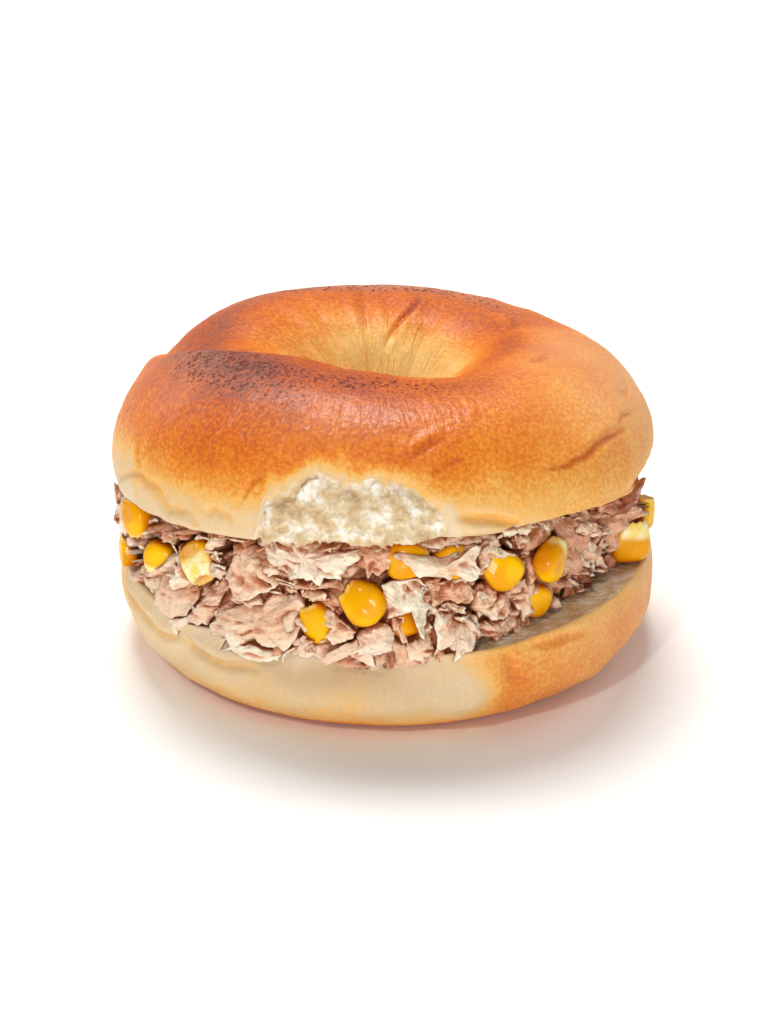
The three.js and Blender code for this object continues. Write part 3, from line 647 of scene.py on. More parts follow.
def heel_fields(dough, in_crease):
    angle, z = dough["angle"], dough["z"]
    broad = layered(dough["points"], 14, 2, 91)
    pale = smoothstep(turn_between(angle, 293) + 7 * broad, 8, -10)
    pale = pale * smoothstep(turn_between(angle, 180), -15, 30)
    low, tan = np.interp(z, *HEEL_PALE), np.interp(z, *HEEL_TAN)
    # Painted shade: darker in the creases
    bake = tan + (low - tan) * pale + 0.06 * broad + 0.12 * in_crease
    # Painted shade: darker in the hollow at the front below the filling, and over the whole cut face, which
    # lies under the filling
    shade = 0.75 * near(angle, 261, 22) * bell((z - 14 - 2 * broad) / 4.5)
    return {"bake": np.where(z < 0.3, 0.6, bake), "crumb": np.where(dough["crust"], 0.0, 1.0), "gloss": 0.1,
            "painted_shade": np.where(dough["crust"], shade, 0.35), "blister": 0,
            # Painted sheen: paler, pinker towards the right of the heel
            "painted_sheen": 0.2 * smoothstep(angle, 280, 330), "streak": 0.15, "lay": lay_of(dough)}


# Meshes

def placed(name, data):
    thing = bpy.data.objects.new(name, data)
    bpy.context.scene.collection.objects.link(thing)
    return thing


def set_field(mesh, key, values):
    """Keeps a number or a vector for each point, for the material."""
    is_vector = np.ndim(values) > 1 and np.shape(values)[-1] == 3
    kind, entry, width = ("FLOAT_VECTOR", "vector", 3) if is_vector else ("FLOAT", "value", 1)
    flat = np.broadcast_to(np.asarray(values, np.float32).reshape(-1), len(mesh.vertices) * width)
    mesh.attributes.new(key, kind, "POINT").data.foreach_set(entry, np.ascontiguousarray(flat))


def make_piece(name, points, faces, fields, material, replaces=()):
    """A piece on the root body, from points in mm in the ring's frame."""
    mesh = bpy.data.meshes.new(name)
    places = (np.asarray(points).reshape(-1, 3) + RING_CENTRE) * MM
    mesh.from_pydata(places.tolist(), [], np.asarray(faces).tolist())
    mesh.validate()
    for key, values in fields.items():
        set_field(mesh, key, values)
    mesh.shade_smooth()
    mesh.materials.append(material)
    piece = placed(name, mesh)
    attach(piece, "root")
    if replaces:
        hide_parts(*replaces)
    return piece


def ring_faces(rows, columns):
    """Quads of a grid that is closed both ways."""
    i, j = np.meshgrid(np.arange(rows), np.arange(columns), indexing="ij")
    k, m = (i + 1) % rows, (j + 1) % columns
    corners = [i * columns + j, k * columns + j, k * columns + m, i * columns + m]
    return np.stack([c.ravel() for c in corners], -1)


def tube_faces(rings, sides):
    """Quads of a tube of rings."""
    return [(i + j, i + (j + 1) % sides, i + sides + (j + 1) % sides, i + sides + j)
            for i in range(0, (rings - 1) * sides, sides) for j in range(sides)]


def make_half(name, points, fields, coat, node):
    faces = ring_faces(*points.shape[:2])
    return make_piece(name, points, faces, fields, crust_material(name, coat), [node])


# Materials

def linear(red, green, blue):
    """Scene colour of an sRGB one given from 0 to 255."""
    return tuple(c / 12.92 if c <= 0.04045 else ((c + 0.055) / 1.055) ** 2.4
                 for c in (red / 255, green / 255, blue / 255)) + (1.0,)


class Nodes:
    """Short way to write a node tree: each call adds a node and returns an output."""

    def __init__(self, name):
        self.material = bpy.data.materials.new(name)
        self.material.use_nodes = True
        self.tree = self.material.node_tree
        self.shader = self.tree.nodes["Principled BSDF"]
        self.place = self.add("ShaderNodeTexCoord").outputs["Object"]

    def add(self, kind, **settings):
        node = self.tree.nodes.new(kind)
        for key, value in settings.items():
            setattr(node, key, value)
        return node

    def feed(self, socket, value):
        if isinstance(value, bpy.types.NodeSocket):
            self.tree.links.new(value, socket)
        else:
            socket.default_value = value

    def field(self, name, output="Fac"):
        return self.add("ShaderNodeAttribute", attribute_name=name).outputs[output]

    def math(self, operation, *values, clamp=False):
        node = self.add("ShaderNodeMath", operation=operation, use_clamp=clamp)
        for socket, value in zip(node.inputs, values):
            self.feed(socket, value)
        return node.outputs[0]

    def times(self, value, other):
        return self.math("MULTIPLY", value, other)

    def plus(self, value, extra, share, clamp=False):
        """The value with a share of an extra one."""
        return self.math("ADD", value, self.times(extra, share), clamp=clamp)

    def vary(self, value, noise, share, clamp=False):
        """The value made uneven by a share of a noise that runs from 0 to 1."""
        return self.plus(value, self.math("SUBTRACT", noise, 0.5), share, clamp)

    def stretch(self, vector, scale):
        node = self.add("ShaderNodeVectorMath", operation="MULTIPLY")
        self.feed(node.inputs[0], vector)
        self.feed(node.inputs[1], scale)
        return node.outputs[0]

    def noise(self, size, vector=None, detail=2.0, roughness=0.5, distortion=0.0):
        """Noise from 0 to 1 with lumps of about `size` in the vector's units."""
        node = self.add("ShaderNodeTexNoise")
        self.feed(node.inputs["Vector"], self.place if vector is None else vector)
        for key, value in (("Scale", 0.5 / size), ("Detail", detail), ("Roughness", roughness),
                           ("Distortion", distortion)):
            node.inputs[key].default_value = value
        return node.outputs["Fac"]

    def cells(self, size):
        """Distance from the middle of the nearest cell, and a random colour for each cell."""
        node = self.add("ShaderNodeTexVoronoi")
        self.feed(node.inputs["Vector"], self.place)
        node.inputs["Scale"].default_value = 1 / size
        return node.outputs["Distance"], node.outputs["Color"]

    def dots(self, size, reach, share):
        """Round dots of random size, up to `reach` cells in radius where `share` is 1."""
        distance, random = self.cells(size)
        radius = self.times(self.times(random, share), reach)
        return self.remap(self.math("SUBTRACT", radius, distance), 0, 0.07)

    def openness(self, distance, samples):
        """Share of the room within a distance that is open."""
        node = self.add("ShaderNodeAmbientOcclusion", samples=samples)
        node.inputs["Distance"].default_value = distance
        return node.outputs["AO"]

    def remap(self, value, low, high, out_low=0.0, out_high=1.0, smooth=True):
        node = self.add("ShaderNodeMapRange", interpolation_type="SMOOTHSTEP" if smooth else "LINEAR")
        for socket, given in zip(node.inputs, (value, low, high, out_low, out_high)):
            self.feed(socket, given)
        return node.outputs[0]

    def ramp(self, value, stops):
        node = self.add("ShaderNodeValToRGB")
        self.feed(node.inputs[0], value)
        elements = node.color_ramp.elements
        for i, (position, colour) in enumerate(stops):
            element = elements[i] if i < 2 else elements.new(position)
            element.position = position
            element.color = linear(*colour)
        return node.outputs["Color"]

    def mix(self, share, first, second):
        """From the first colour to the second: outputs, or colours from 0 to 255."""
        node = self.add("ShaderNodeMix", data_type="RGBA")
        self.feed(node.inputs[0], share)
        for socket, colour in ((node.inputs[6], first), (node.inputs[7], second)):
            self.feed(socket, linear(*colour) if isinstance(colour, tuple) else colour)
        return node.outputs[2]

    def bump(self, height, distance, strength=1.0, below=None):
        node = self.add("ShaderNodeBump")
        self.feed(node.inputs["Strength"], strength)
        node.inputs["Distance"].default_value = distance
        self.feed(node.inputs["Height"], height)
        if below is not None:
            self.feed(node.inputs["Normal"], below)
        return node.outputs["Normal"]

    def set(self, **values):
        for key, value in values.items():
            self.feed(self.shader.inputs[key.replace("_", " ")], value)


def crust_colour(n, bake, blister, is_crumb):
    """Colour of crust and crumb, and where the spots are."""
    grain = n.remap(n.noise(0.38 * MM), 0.3, 0.7)
    value = n.vary(bake, grain, n.times(n.math("ADD", bake, 0.15), 0.2))
    value = n.vary(value, n.noise(2.4 * MM, detail=3), 0.11)
    streak = n.noise(1.1, n.stretch(n.field("lay", "Vector"), (1, 1, 0.1)))
    value = n.vary(value, streak, n.times(n.field("streak"), 0.3), clamp=True)
    crust = n.ramp(value, BAKE)
    # Painted sheen and painted shade laid over the crust's colour, and gold deep down the hole
    for key, tint in CRUST_TINTS.items():
        crust = n.mix(n.field(key), crust, tint)
    share = n.remap(blister, 0.1, 1.0, smooth=False)
    dot = n.math("MAXIMUM", n.dots(0.85 * MM, 0.64, share), n.dots(1.5 * MM, 0.44, share))
    crust = n.mix(n.times(dot, 0.85), crust, SPOT)
    inside = n.ramp(n.noise(1.6 * MM, detail=4, roughness=0.6), CRUMB)
    # Painted shade on the crumb, in its pits and on the heel's cut face
    inside = n.mix(n.field("painted_shade"), inside, CRUMB_PAINTED_SHADE)
    return n.mix(is_crumb, crust, inside), dot


def crust_material(name, coat):
    """Baked crust, pale to nearly black, with spots, fine wrinkles and open crumb where it is cut or torn."""
    n = Nodes(name)
    bake, crumb, gloss, blister = (n.field(key) for key in ("bake", "crumb", "gloss", "blister"))
    is_crumb = n.remap(n.vary(crumb, n.noise(1.2 * MM, detail=3), 0.5), 0.35, 0.62)
    colour, dot = crust_colour(n, bake, blister, is_crumb)
    rough = n.plus(n.remap(gloss, 0, 0.9, 0.55, 0.31), blister, 0.12)
    rough = n.plus(rough, is_crumb, 0.3, clamp=True)
    wrinkle = n.noise(0.8, n.stretch(n.field("lay", "Vector"), (1, 1, 0.25)), detail=3, distortion=0.6)
    height = n.plus(n.times(wrinkle, n.remap(gloss, 0, 1, 0.25, 1.8)), dot, 0.8)
    height = n.plus(height, n.noise(0.45 * MM), 0.45)
    fine = n.bump(height, 0.45 * MM, 0.9)
    pits = n.plus(n.noise(0.6 * MM, detail=4, roughness=0.65), n.cells(1.1 * MM)[0], 0.5)
    pits = n.times(n.math("SUBTRACT", pits, 0.6), is_crumb)
    n.set(Base_Color=colour, Roughness=rough, Normal=n.bump(pits, 0.7 * MM, 0.8, fine))
    n.set(Subsurface_Weight=0.12, Subsurface_Radius=(1.0, 0.55, 0.3), Subsurface_Scale=1.6 * MM)
    n.set(Specular_IOR_Level=0.28, Coat_Weight=coat, Coat_Roughness=0.28)
    return n.material


def corn_material():
    """Wet yellow skin with a pale, flecked end; painted shade makes it darker orange at the sides and in the
    gaps.
    """
    n = Nodes("sweetcorn_skin")
    tip, tone = n.field("tip"), n.field("tone")
    value = n.math("ADD", n.times(n.noise(3.2 * MM), 0.85), n.times(tone, 0.4), clamp=True)
    # Painted shade: deeper orange towards the kernel's sides
    skin = n.mix(n.field("side"), n.ramp(value, CORN_SKIN), CORN_SIDE_SHADE)
    fleck = n.remap(n.noise(1.0 * MM, detail=3), 0.35, 0.7)
    colour = n.mix(n.remap(tip, 0.3, 0.95), skin, n.mix(fleck, *CORN_TIP))
    colour = n.mix(n.times(n.field("cup"), 0.7), colour, CORN_CUP)
    # Painted shade: darker orange where little room round a point is open
    colour = n.mix(n.remap(n.openness(4 * MM, 6), 0.2, 0.8), CORN_GAP_SHADE, colour)
    height = n.math("ADD", n.times(n.noise(1.4 * MM), 0.6), n.times(fleck, tip))
    n.set(Base_Color=colour, Roughness=n.remap(tip, 0, 1, 0.34, 0.5), Normal=n.bump(height, 0.3 * MM, 0.6))
    n.set(Subsurface_Weight=0.12, Subsurface_Radius=(1.0, 0.6, 0.05), Subsurface_Scale=1.2 * MM)
    n.set(Specular_IOR_Level=0.04, Coat_Weight=0.3, Coat_Roughness=0.03)
    return n.material


def tuna_material(name):
    """Flaked tuna in mayonnaise, streaked along its own grain; pale on torn edges, partly its own colour and
    partly a painted highlight; brown in the gaps and darker under the crown's overhang, as painted shade.
    """
    n = Nodes(name)
    tone, rim, pit = (n.field(key) for key in ("tone", "rim", "pit"))
    strand = n.noise(0.7, n.stretch(n.field("fibre", "Vector"), (0.14, 1, 1)), detail=4, roughness=0.6)
    value = n.plus(n.times(strand, 0.6), n.noise(3.5 * MM, detail=3), 0.5)
    value = n.plus(value, n.math("SUBTRACT", tone, 0.2), 0.75)
    # Rims lighter, partly their own paler colour and partly a painted highlight; pits darker, as painted
    # shade
    value = n.plus(n.plus(value, rim, 0.2), pit, -0.5)
    flesh = n.ramp(n.remap(value, 0.25, 1.25, smooth=False), TUNA)
    flesh = n.mix(n.remap(n.noise(6 * MM), 0.45, 0.66, 0, 0.36), flesh, TUNA_ROSY)
    # Painted shade: dimmer and browner where little room round a point is open, in the gaps between flakes
    gap = n.openness(3.5 * MM, 6)
    flesh = n.mix(n.remap(gap, 0.35, 0.85), TUNA_DIM_SHADE, flesh)
    colour = n.mix(n.remap(gap, 0.05, 0.5), TUNA_GAP_SHADE, flesh)
    # Painted shade under the crown's overhang and deep in the filling
    colour = n.mix(n.remap(n.openness(10 * MM, 4), 0.15, 0.6, 0.4, 1), TUNA_SHADE, colour)
    rough = n.remap(n.noise(1.5 * MM), 0.3, 0.7, 0.32, 0.55)
    height = n.plus(strand, n.noise(0.7 * MM, detail=4, roughness=0.62), 1.4)
    n.set(Base_Color=colour, Roughness=rough, Normal=n.bump(height, 0.65 * MM, 0.9))
    n.set(Subsurface_Weight=0.25, Subsurface_Radius=(1.0, 0.5, 0.3), Subsurface_Scale=1.6 * MM)
    n.set(Specular_IOR_Level=0.4, Coat_Weight=0.3, Coat_Roughness=0.15)
    return n.material


# Filling

def filling_radius(angle):
    return FILLING["radius"] + swell(angle, FILLING_OUTLINE)


def cut_raise(half, lobes, angle, radius):
    return swell(angle, lobes) * np.maximum(0, (radius - half["hole"]) / (half["radius"] - half["hole"]))


def heel_cut(angle, radius=INSIDE):
    return HEEL["height"] + cut_raise(HEEL, HEEL_RIM, angle, radius)


def crown_cut(angle, radius=INSIDE):
    flat = on_ring(angle, radius, cut_raise(CROWN, CROWN_CUT, angle, radius))
    return flat @ crown_turn()[2] + CROWN["lift"]


def wall_reach(angle, climb):
    """How far out the edge of the filling is, at a share of the way up from the lower cut face."""
    flare = MASH["flare"] * near(angle, MASH["flare_at"], MASH["flare_width"])
    return filling_radius(angle) + flare * bell(climb / 0.22) + 0.8 * np.sin(np.pi * climb)


def random_slabs(random):
    """Lumps and flakes all round the edge, from large to small: where each one lies and how it is turned."""
    slabs = []
    for count, low, high in MASH["slabs"]:
        for _ in range(count):
            length = random.uniform(low, high)
            slabs.append({"angle": random.uniform(0, 360), "climb": random.uniform(-0.05, 1.05),
                          "length": length / 2, "width": length / 2 * random.uniform(0.4, 0.8),
                          "turn": random.normal(0, 0.5), "out": random.normal(0.2, 0.9),
                          "tilt": random.normal(0, 0.16), "lean": random.normal(-0.16, 0.2),
                          "tone": random.uniform(0, 1), "offset": random.uniform(0, 400, 3)})
    return slabs


def slab_relief(angle, climb, room, slabs):
    """Relief of overlapping slabs with ragged edges, with the tone, rim and grain of the outermost one."""
    shape = angle.shape
    height = np.full(shape, -3.0)
    tone, rim = np.zeros(shape), np.zeros(shape)
    fibre = np.zeros(shape + (3,))
    for slab in slabs:
        across = np.radians(turn_between(angle[:, 0], slab["angle"])) * WALL
        rows = np.where(np.abs(across) < slab["length"] * 1.5)[0]
        if not len(rows):
            continue
        x = np.broadcast_to(across[rows][:, None], (len(rows), shape[1]))
        along, aside = turned(x, (climb[rows] - slab["climb"]) * room[rows], slab["turn"])
        flat = np.stack([along, aside, 0 * x], -1) + slab["offset"]
        share = np.hypot(along / slab["length"], aside / slab["width"]) + 0.42 * layered(flat, 2.6, 3, 3)
        strands = 0.28 * noise(flat * np.array([0.2, 1, 1]), 1.0, 8) + 0.55 * layered(flat, 3.2, 2, 6)
        out = slab["out"] + slab["tilt"] * along + slab["lean"] * aside + strands
        out = out - 0.9 * np.clip(share, 0, 1) ** 5
        inside = (share < 1) & (out > height[rows])
        height[rows] = np.where(inside, out, height[rows])
        tone[rows] = np.where(inside, slab["tone"], tone[rows])
        rim[rows] = np.where(inside, np.clip(share, 0, 1) ** 6, rim[rows])
        fibre[rows] = np.where(inside[..., None], flat, fibre[rows])
    return height, tone, rim, fibre


def kernel_pockets(points, kernels):
    """The most that the mash may stand out near each kernel, so that it hugs but does not bury it."""
    far = 99
    limit = np.full(points.shape[:-1], float(far))
    for kernel in kernels:
        middle = kernel["middle"]
        radius = math.hypot(middle[0], middle[1])
        outward = np.array([middle[0], middle[1], 0]) / radius
        gap = points - middle
        sideways = np.linalg.norm(gap - (gap @ outward)[..., None] * outward, axis=-1)
        sideways = np.where((gap @ outward) > -20, sideways, far)
        inner, outer = (reach * kernel["size"] for reach in POCKET)
        wall = radius - 0.4 + 9 * smoothstep(sideways, inner, outer)
        limit = np.minimum(limit, np.where(sideways < outer, wall, far))
    return limit


def mash_wall(angles, kernels):
    """Edge of the mash from the lower cut face to the upper one: radius, height, fields and grain."""
    climb = np.broadcast_to(np.linspace(0, 1, MASH["rows"])[None, :], (len(angles), MASH["rows"]))
    wide = np.broadcast_to(angles, climb.shape)
    reach = wall_reach(wide, climb)
    drape = 1.8 * near(wide, 258, 46) * smoothstep(climb, 0.14, 0)
    low, high = heel_cut(wide, reach) + 0.25 - drape, crown_cut(wide, reach) - 0.35
    z = low + (high - low) * climb
    slabs = random_slabs(np.random.default_rng(MASH["seed"]))
    relief, tone, rim, fibre = slab_relief(wide, climb, high - low, slabs)
    relief = relief + 0.25 * layered(on_ring(wide, reach, z), 1.6, 2, 15)
    squeeze = smoothstep(climb, 1.0, 0.9)
    radius = np.minimum(reach + 1.6 * relief * (0.3 + 0.7 * squeeze) - 2.4, MASH_LIMIT)
    radius = np.minimum(radius, kernel_pockets(on_ring(wide, radius, z), kernels))
    # Painted shade: darker where the relief sinks between slabs
    return radius, z, {"tone": tone, "rim": rim, "pit": np.clip((0.1 - relief) / 2.4, 0, 1)}, fibre


def build_mash(material, kernels):
    """Body of the filling: a wet mass of torn fish that follows both cut faces and swells into the holes."""
    angles = uneven_steps(*MASH["columns"])[:, None]
    radius, z, fields, fibre = mash_wall(angles, kernels)
    inner_radius = (filling_radius(angles) - 3) * MASH_SHARES
    inner_low = heel_cut(angles, inner_radius) + 0.4 - 1.2 * bell(MASH_SHARES / 0.12)
    inner_high = crown_cut(angles, inner_radius) - 0.4 + 2.2 * bell(MASH_SHARES / 0.12)
    all_radius = np.hstack([inner_radius, radius, inner_radius[:, ::-1]])
    all_z = np.hstack([inner_low, z, inner_high[:, ::-1]])
    points = on_ring(np.broadcast_to(angles, all_radius.shape), all_radius, all_z)
    points[..., 2] += 0.9 * smoothstep(all_radius, 16, 6) * layered(points, 5, 4, 111)
    side = inner_radius.shape[1]
    pad = ((0, 0), (side, side))
    hidden = {"tone": 0.4, "rim": 0, "pit": 0}
    fields = {key: np.pad(fields[key], pad, constant_values=value) for key, value in hidden.items()}
    fibre = np.pad(fibre, pad + ((0, 0),))
    fields["fibre"] = np.where(fibre[..., :1] != 0, fibre, points)
    faces = ring_faces(*all_radius.shape)
    return make_piece("tuna_mash", points, faces, fields, material, ["tuna_filling"])


class Heap:
    """Many small shapes gathered into one mesh, with what is known of each point."""

    def __init__(self):
        self.points, self.faces, self.fields, self.count = [], [], {}, 0

    def add(self, points, faces, **fields):
        self.points.append(points)
        self.faces.append(np.asarray(faces) + self.count)
        for key, values in fields.items():
            wide = np.broadcast_to(values, points.shape[:1] + np.shape(values)[1:])
            self.fields.setdefault(key, []).append(wide)
        self.count += len(points)

    def piece(self, name, material):
        points = np.concatenate(self.points)
        fields = {key: np.concatenate(values) for key, values in self.fields.items()}
        return make_piece(name, points, np.concatenate(self.faces), fields, material)


def disc_faces(rings, spokes):
    """Triangles of a thin closed sheet: two faces of rings round a middle point, joined at the rim."""
    faces = []
    side = 1 + rings * spokes
    for start in (0, side):
        for j in range(spokes):
            k = (j + 1) % spokes
            faces.append((start, start + 1 + j, start + 1 + k))
            for i in range(rings - 1):
                a, b = start + 1 + i * spokes, start + 1 + (i + 1) * spokes
                faces += [(a + j, b + j, b + k), (a + j, b + k, a + k)]
    count = len(faces) // 2
    faces[count:] = [face[::-1] for face in faces[count:]]
    rim = 1 + (rings - 1) * spokes
    for j in range(spokes):
        k = (j + 1) % spokes
        faces += [(rim + j, side + rim + j, side + rim + k), (rim + j, side + rim + k, rim + k)]
    return np.array(faces)


def view_axes():
    """Directions from the aim to the camera, and up in the picture."""
    elevation = math.radians(CAMERA["elevation"])
    rise, level = math.sin(elevation), math.cos(elevation)
    return np.array([0, -level, rise]), np.array([0, rise, level])


def pixel_ray(pixel):
    """Camera's place and its ray through a pixel, which goes 1 mm away for each unit of its length."""
    back, up = view_axes()
    reach = CAMERA["pixels_per_mm"] * CAMERA["distance"]
    ray = -back + np.array([1, 0, 0]) * (pixel[0] - PICTURE_WIDTH / 2) / reach
    eye = back * CAMERA["distance"] + np.array([0, 0, CAMERA["aim_height"]])
    return eye, ray + up * (PICTURE_HEIGHT / 2 - pixel[1]) / reach


def pixel_on_wall(pixel, radius):
    """Distance round the ring and height where the camera sees a cylinder of this radius through a pixel."""
    eye, ray = pixel_ray(pixel)
    a = ray[0] ** 2 + ray[1] ** 2
    b = eye[0] * ray[0] + eye[1] * ray[1]
    c = eye[0] ** 2 + eye[1] ** 2 - radius ** 2
    hit = eye + ray * (-b - math.sqrt(max(b * b - a * c, 0))) / a
    return math.radians(math.degrees(math.atan2(hit[1], hit[0])) % 360) * WALL, hit[2]


def pixel_on_plane(pixel, depth):
    """x and height where the camera sees an upright plane across the view through a pixel."""
    eye, ray = pixel_ray(pixel)
    hit = eye + ray * (depth - eye[1]) / ray[1]
    return hit[0], hit[2]


def resampled(outline, count):
    """Points evenly spaced along a closed outline."""
    closed = np.vstack([outline, outline[:1]])
    lengths = np.concatenate([[0], np.cumsum(np.linalg.norm(np.diff(closed, axis=0), axis=1))])
    steps = np.linspace(0, lengths[-1], count, endpoint=False)
    return np.stack([np.interp(steps, lengths, closed[:, i]) for i in (0, 1)], -1)


def torn_edge(random, rim, size):
    """How far a torn outline strays from its rim: long waves, short ones, and a few tapering spikes."""
    place = np.concatenate([rim, np.zeros((len(rim), 1))], axis=1) + random.uniform(0, 500, 3)
    stray = 0.07 * size * noise(place, 0.9 * size + 1) + 0.4 * noise(place, 1.7) + 0.22 * noise(place, 0.7)
    half = len(rim) // 2
    for _ in range(random.integers(1, 5)):
        at = random.integers(len(rim))
        steps = np.abs((np.arange(len(rim)) - at + half) % len(rim) - half)
        stray = stray + random.uniform(0.5, 0.2 * size + 0.8) * np.clip(1 - steps / 2.2, 0, 1)
    return stray


def spread_disc(random, outline, grid):
    """Flat points of a torn sheet from its middle out, how near its rim each is, its middle and its size."""
    rings, spokes = grid
    rim = resampled(outline, spokes)
    middle = rim.mean(axis=0)
    spread = rim - middle
    reach = np.linalg.norm(spread, axis=1)
    outward = spread / np.maximum(reach[:, None], 1e-6)
    spread = spread + outward * torn_edge(random, rim, reach.mean())[:, None]
    share = (np.arange(1, rings + 1) / rings) ** 0.8
    flat = middle + np.concatenate([[[0, 0]], (share[:, None, None] * spread).reshape(-1, 2)])
    return flat, np.concatenate([[0], np.repeat(share, spokes)]), middle, reach.mean()


def add_sheet(heap, faces, grid, random, outline, place, look):
    """Torn sheet over a flat outline in mm: ragged, bent, pitted and thin at its rim, put down by `place`."""
    flat, rho, middle, size = spread_disc(random, outline, grid)
    seen = np.concatenate([flat, 0 * flat[:, :1]], axis=1) + random.uniform(0, 500, 3)
    fibre = np.stack([*turned(seen[:, 0], seen[:, 1], random.normal(0.1, 0.35)), 0 * rho], -1)
    lumps = 0.9 * noise(seen, 5.5, 3) + 0.75 * ridged(seen, 3.8, 3, 5) + 0.4 * layered(seen, 1.7, 3, 7)
    strands = 0.4 * noise(fibre * np.array([0.16, 1, 1]), 1.3, 9)
    crack = bell(noise(fibre * np.array([0.4, 1, 1]), 3.0, 23) / 0.15)
    crack = crack * smoothstep(noise(seen, 4, 29), -0.1, 0.4) * smoothstep(rho, 1, 0.7)
    curl = 1.2 * noise(seen, 6, 17) * rho ** 3
    dome = (0.7 + 0.2 * size) * (1 - rho ** 2)
    lean = look.get("lean", 0.22) * (middle[1] - flat[:, 1])
    top = 0.75 * look["out"] - 1.5 + dome + lean + lumps + strands + curl - 1.1 * crack
    thick = look.get("thick", 2.6) * np.sqrt(np.clip(1 - rho ** 2.5, 0, 1)) + 0.5
    both = np.vstack([np.column_stack([flat, top]), np.column_stack([flat, top - thick])])
    # Painted shade: darker in cracks and low places of the sheet
    pit = np.maximum(crack, smoothstep(lumps, -0.4, -1.6))
    heap.add(place(both), faces, tone=look["tone"], rim=np.tile(rho, 2) ** 8, pit=np.tile(pit, 2),
             fibre=np.vstack([fibre, fibre]))


def on_wall(flat):
    """Places (arc, height, out) on the edge of the filling."""
    angle = np.degrees(flat[:, 0] / WALL)
    low = heel_cut(angle)
    climb = (flat[:, 1] - low) / np.maximum(crown_cut(angle) - low, 1)
    radius = wall_reach(angle, np.clip(climb, 0, 1)) + flat[:, 2]
    return pressed(on_ring(angle, radius, flat[:, 1]))


def on_upright(depth):
    """Places (x, height, out) on an upright plane across the view, out of the filling's side."""
    limit, spare = 54, 1.3

    def place(flat):
        reach = np.abs(flat[:, 0])
        x = np.minimum(reach, limit) + spare * np.tanh(np.maximum(reach - limit, 0) / (2 * spare))
        return np.stack([np.sign(flat[:, 0]) * x, depth - flat[:, 2], flat[:, 1]], -1)
    return place


def in_hole(flat):
    """Places (x, y, out) on top of the filling inside the crown's hole."""
    angle = np.degrees(np.arctan2(flat[:, 1], flat[:, 0]))
    radius = np.hypot(flat[:, 0], flat[:, 1])
    return np.stack([flat[:, 0], flat[:, 1], crown_cut(angle, radius) + 1.2 + 0.6 * flat[:, 2]], -1)


def pressed(points):
    """Keeps flakes between the two cut faces and inside the solid's reach."""
    points = within(points, *FLAKE_LIMIT)
    angle = np.degrees(np.arctan2(points[:, 1], points[:, 0])) % 360
    radius = np.hypot(points[:, 0], points[:, 1])
    over_rim = smoothstep(radius, 51.5, 54)
    low = heel_cut(angle, radius) + 0.15 - 3.5 * over_rim
    high = crown_cut(angle, radius) - 0.15 + 3 * over_rim
    return on_ring(angle, radius, np.clip(points[:, 2], low, high))


def build_sheets(material):
    """Sheets that show at the front, each where the photograph has it."""
    random = np.random.default_rng(SHEETS["seed"])
    heap = Heap()
    faces = disc_faces(*SHEETS["grid"])
    for sheet in FRONT_SHEETS:
        pixels = sheet["outline"]
        if "plane" in sheet:
            outline = [pixel_on_plane(pixel, sheet["plane"]) for pixel in pixels]
            place = on_upright(sheet["plane"])
        else:
            outline = [pixel_on_wall(pixel, WALL - 0.5 + sheet["out"]) for pixel in pixels]
            place = on_wall
        add_sheet(heap, faces, SHEETS["grid"], random, np.array(outline), place, sheet)
    return heap.piece("tuna_sheets", material)


def ragged_outline(random, across, height, length, width, turn):
    """Outline of a torn flake about a place."""
    corners = 14
    theta = np.linspace(0, 2 * np.pi, corners, endpoint=False)
    reach = 1 + random.normal(0, 0.2, corners)
    reach = reach + (random.random(corners) < 0.15) * random.uniform(0, 0.5, corners)
    x, y = turned(length / 2 * reach * np.cos(theta), width / 2 * reach * np.sin(theta), -turn)
    return np.stack([across + x, height + y], -1)


def near_kernel(kernels, angle, height, reach):
    place = on_ring(angle, WALL + 0.5, height)
    return any(np.linalg.norm(place - kernel["middle"]) < reach for kernel in kernels)


def add_flake(heap, faces, random, kernels, angle, lengths):
    """A flake at a random height of the filling's edge, unless a kernel is in its way."""
    low, high = heel_cut(angle), crown_cut(angle)
    height = low + (high - low) * random.uniform(0.05, 0.95)
    length = random.uniform(*lengths)
    look = {"out": random.uniform(-0.4, 1.2), "lean": random.normal(0.2, 0.15),
            "thick": random.uniform(0.8, 2.2), "tone": random.uniform(0.1, 1)}
    # Painted shade: flakes darker towards the right, where the filling lies in shade
    look["tone"] -= 0.45 * near(angle, 340, 16)
    if near_kernel(kernels, angle, height, 3.6 + 0.2 * length):
        return
    width = length * random.uniform(0.4, 0.75)
    turn = random.normal(0, 0.35)
    outline = ragged_outline(random, math.radians(angle) * WALL, height, length, width, turn)
    add_sheet(heap, faces, FLAKES["grid"], random, outline, on_wall, look)


def build_flakes(material, kernels):
    """Flakes and crumbs of fish scattered all round the edge, and a few inside the hole."""
    random = np.random.default_rng(FLAKES["seed"])
    heap = Heap()
    faces = disc_faces(*FLAKES["grid"])
    for count, first, last, least, most in FLAKES["kinds"]:
        for _ in range(count):
            add_flake(heap, faces, random, kernels, random.uniform(first, last) % 360, (least, most))
    for _ in range(HOLE_FLAKES["count"]):
        x, y = random.uniform(-1, 1, 2) * HOLE_FLAKES["reach"] * 0.7
        length = HOLE_FLAKES["length"] * random.uniform(0.6, 1.3)
        outline = ragged_outline(random, x, y, length, 0.6 * length, random.uniform(0, 3.1))
        look = {"out": random.uniform(0, 1), "lean": 0, "tone": random.uniform(0.1, 0.9)}
        add_sheet(heap, faces, FLAKES["grid"], random, outline, in_hole, look)
    return heap.piece("tuna_flakes", material)


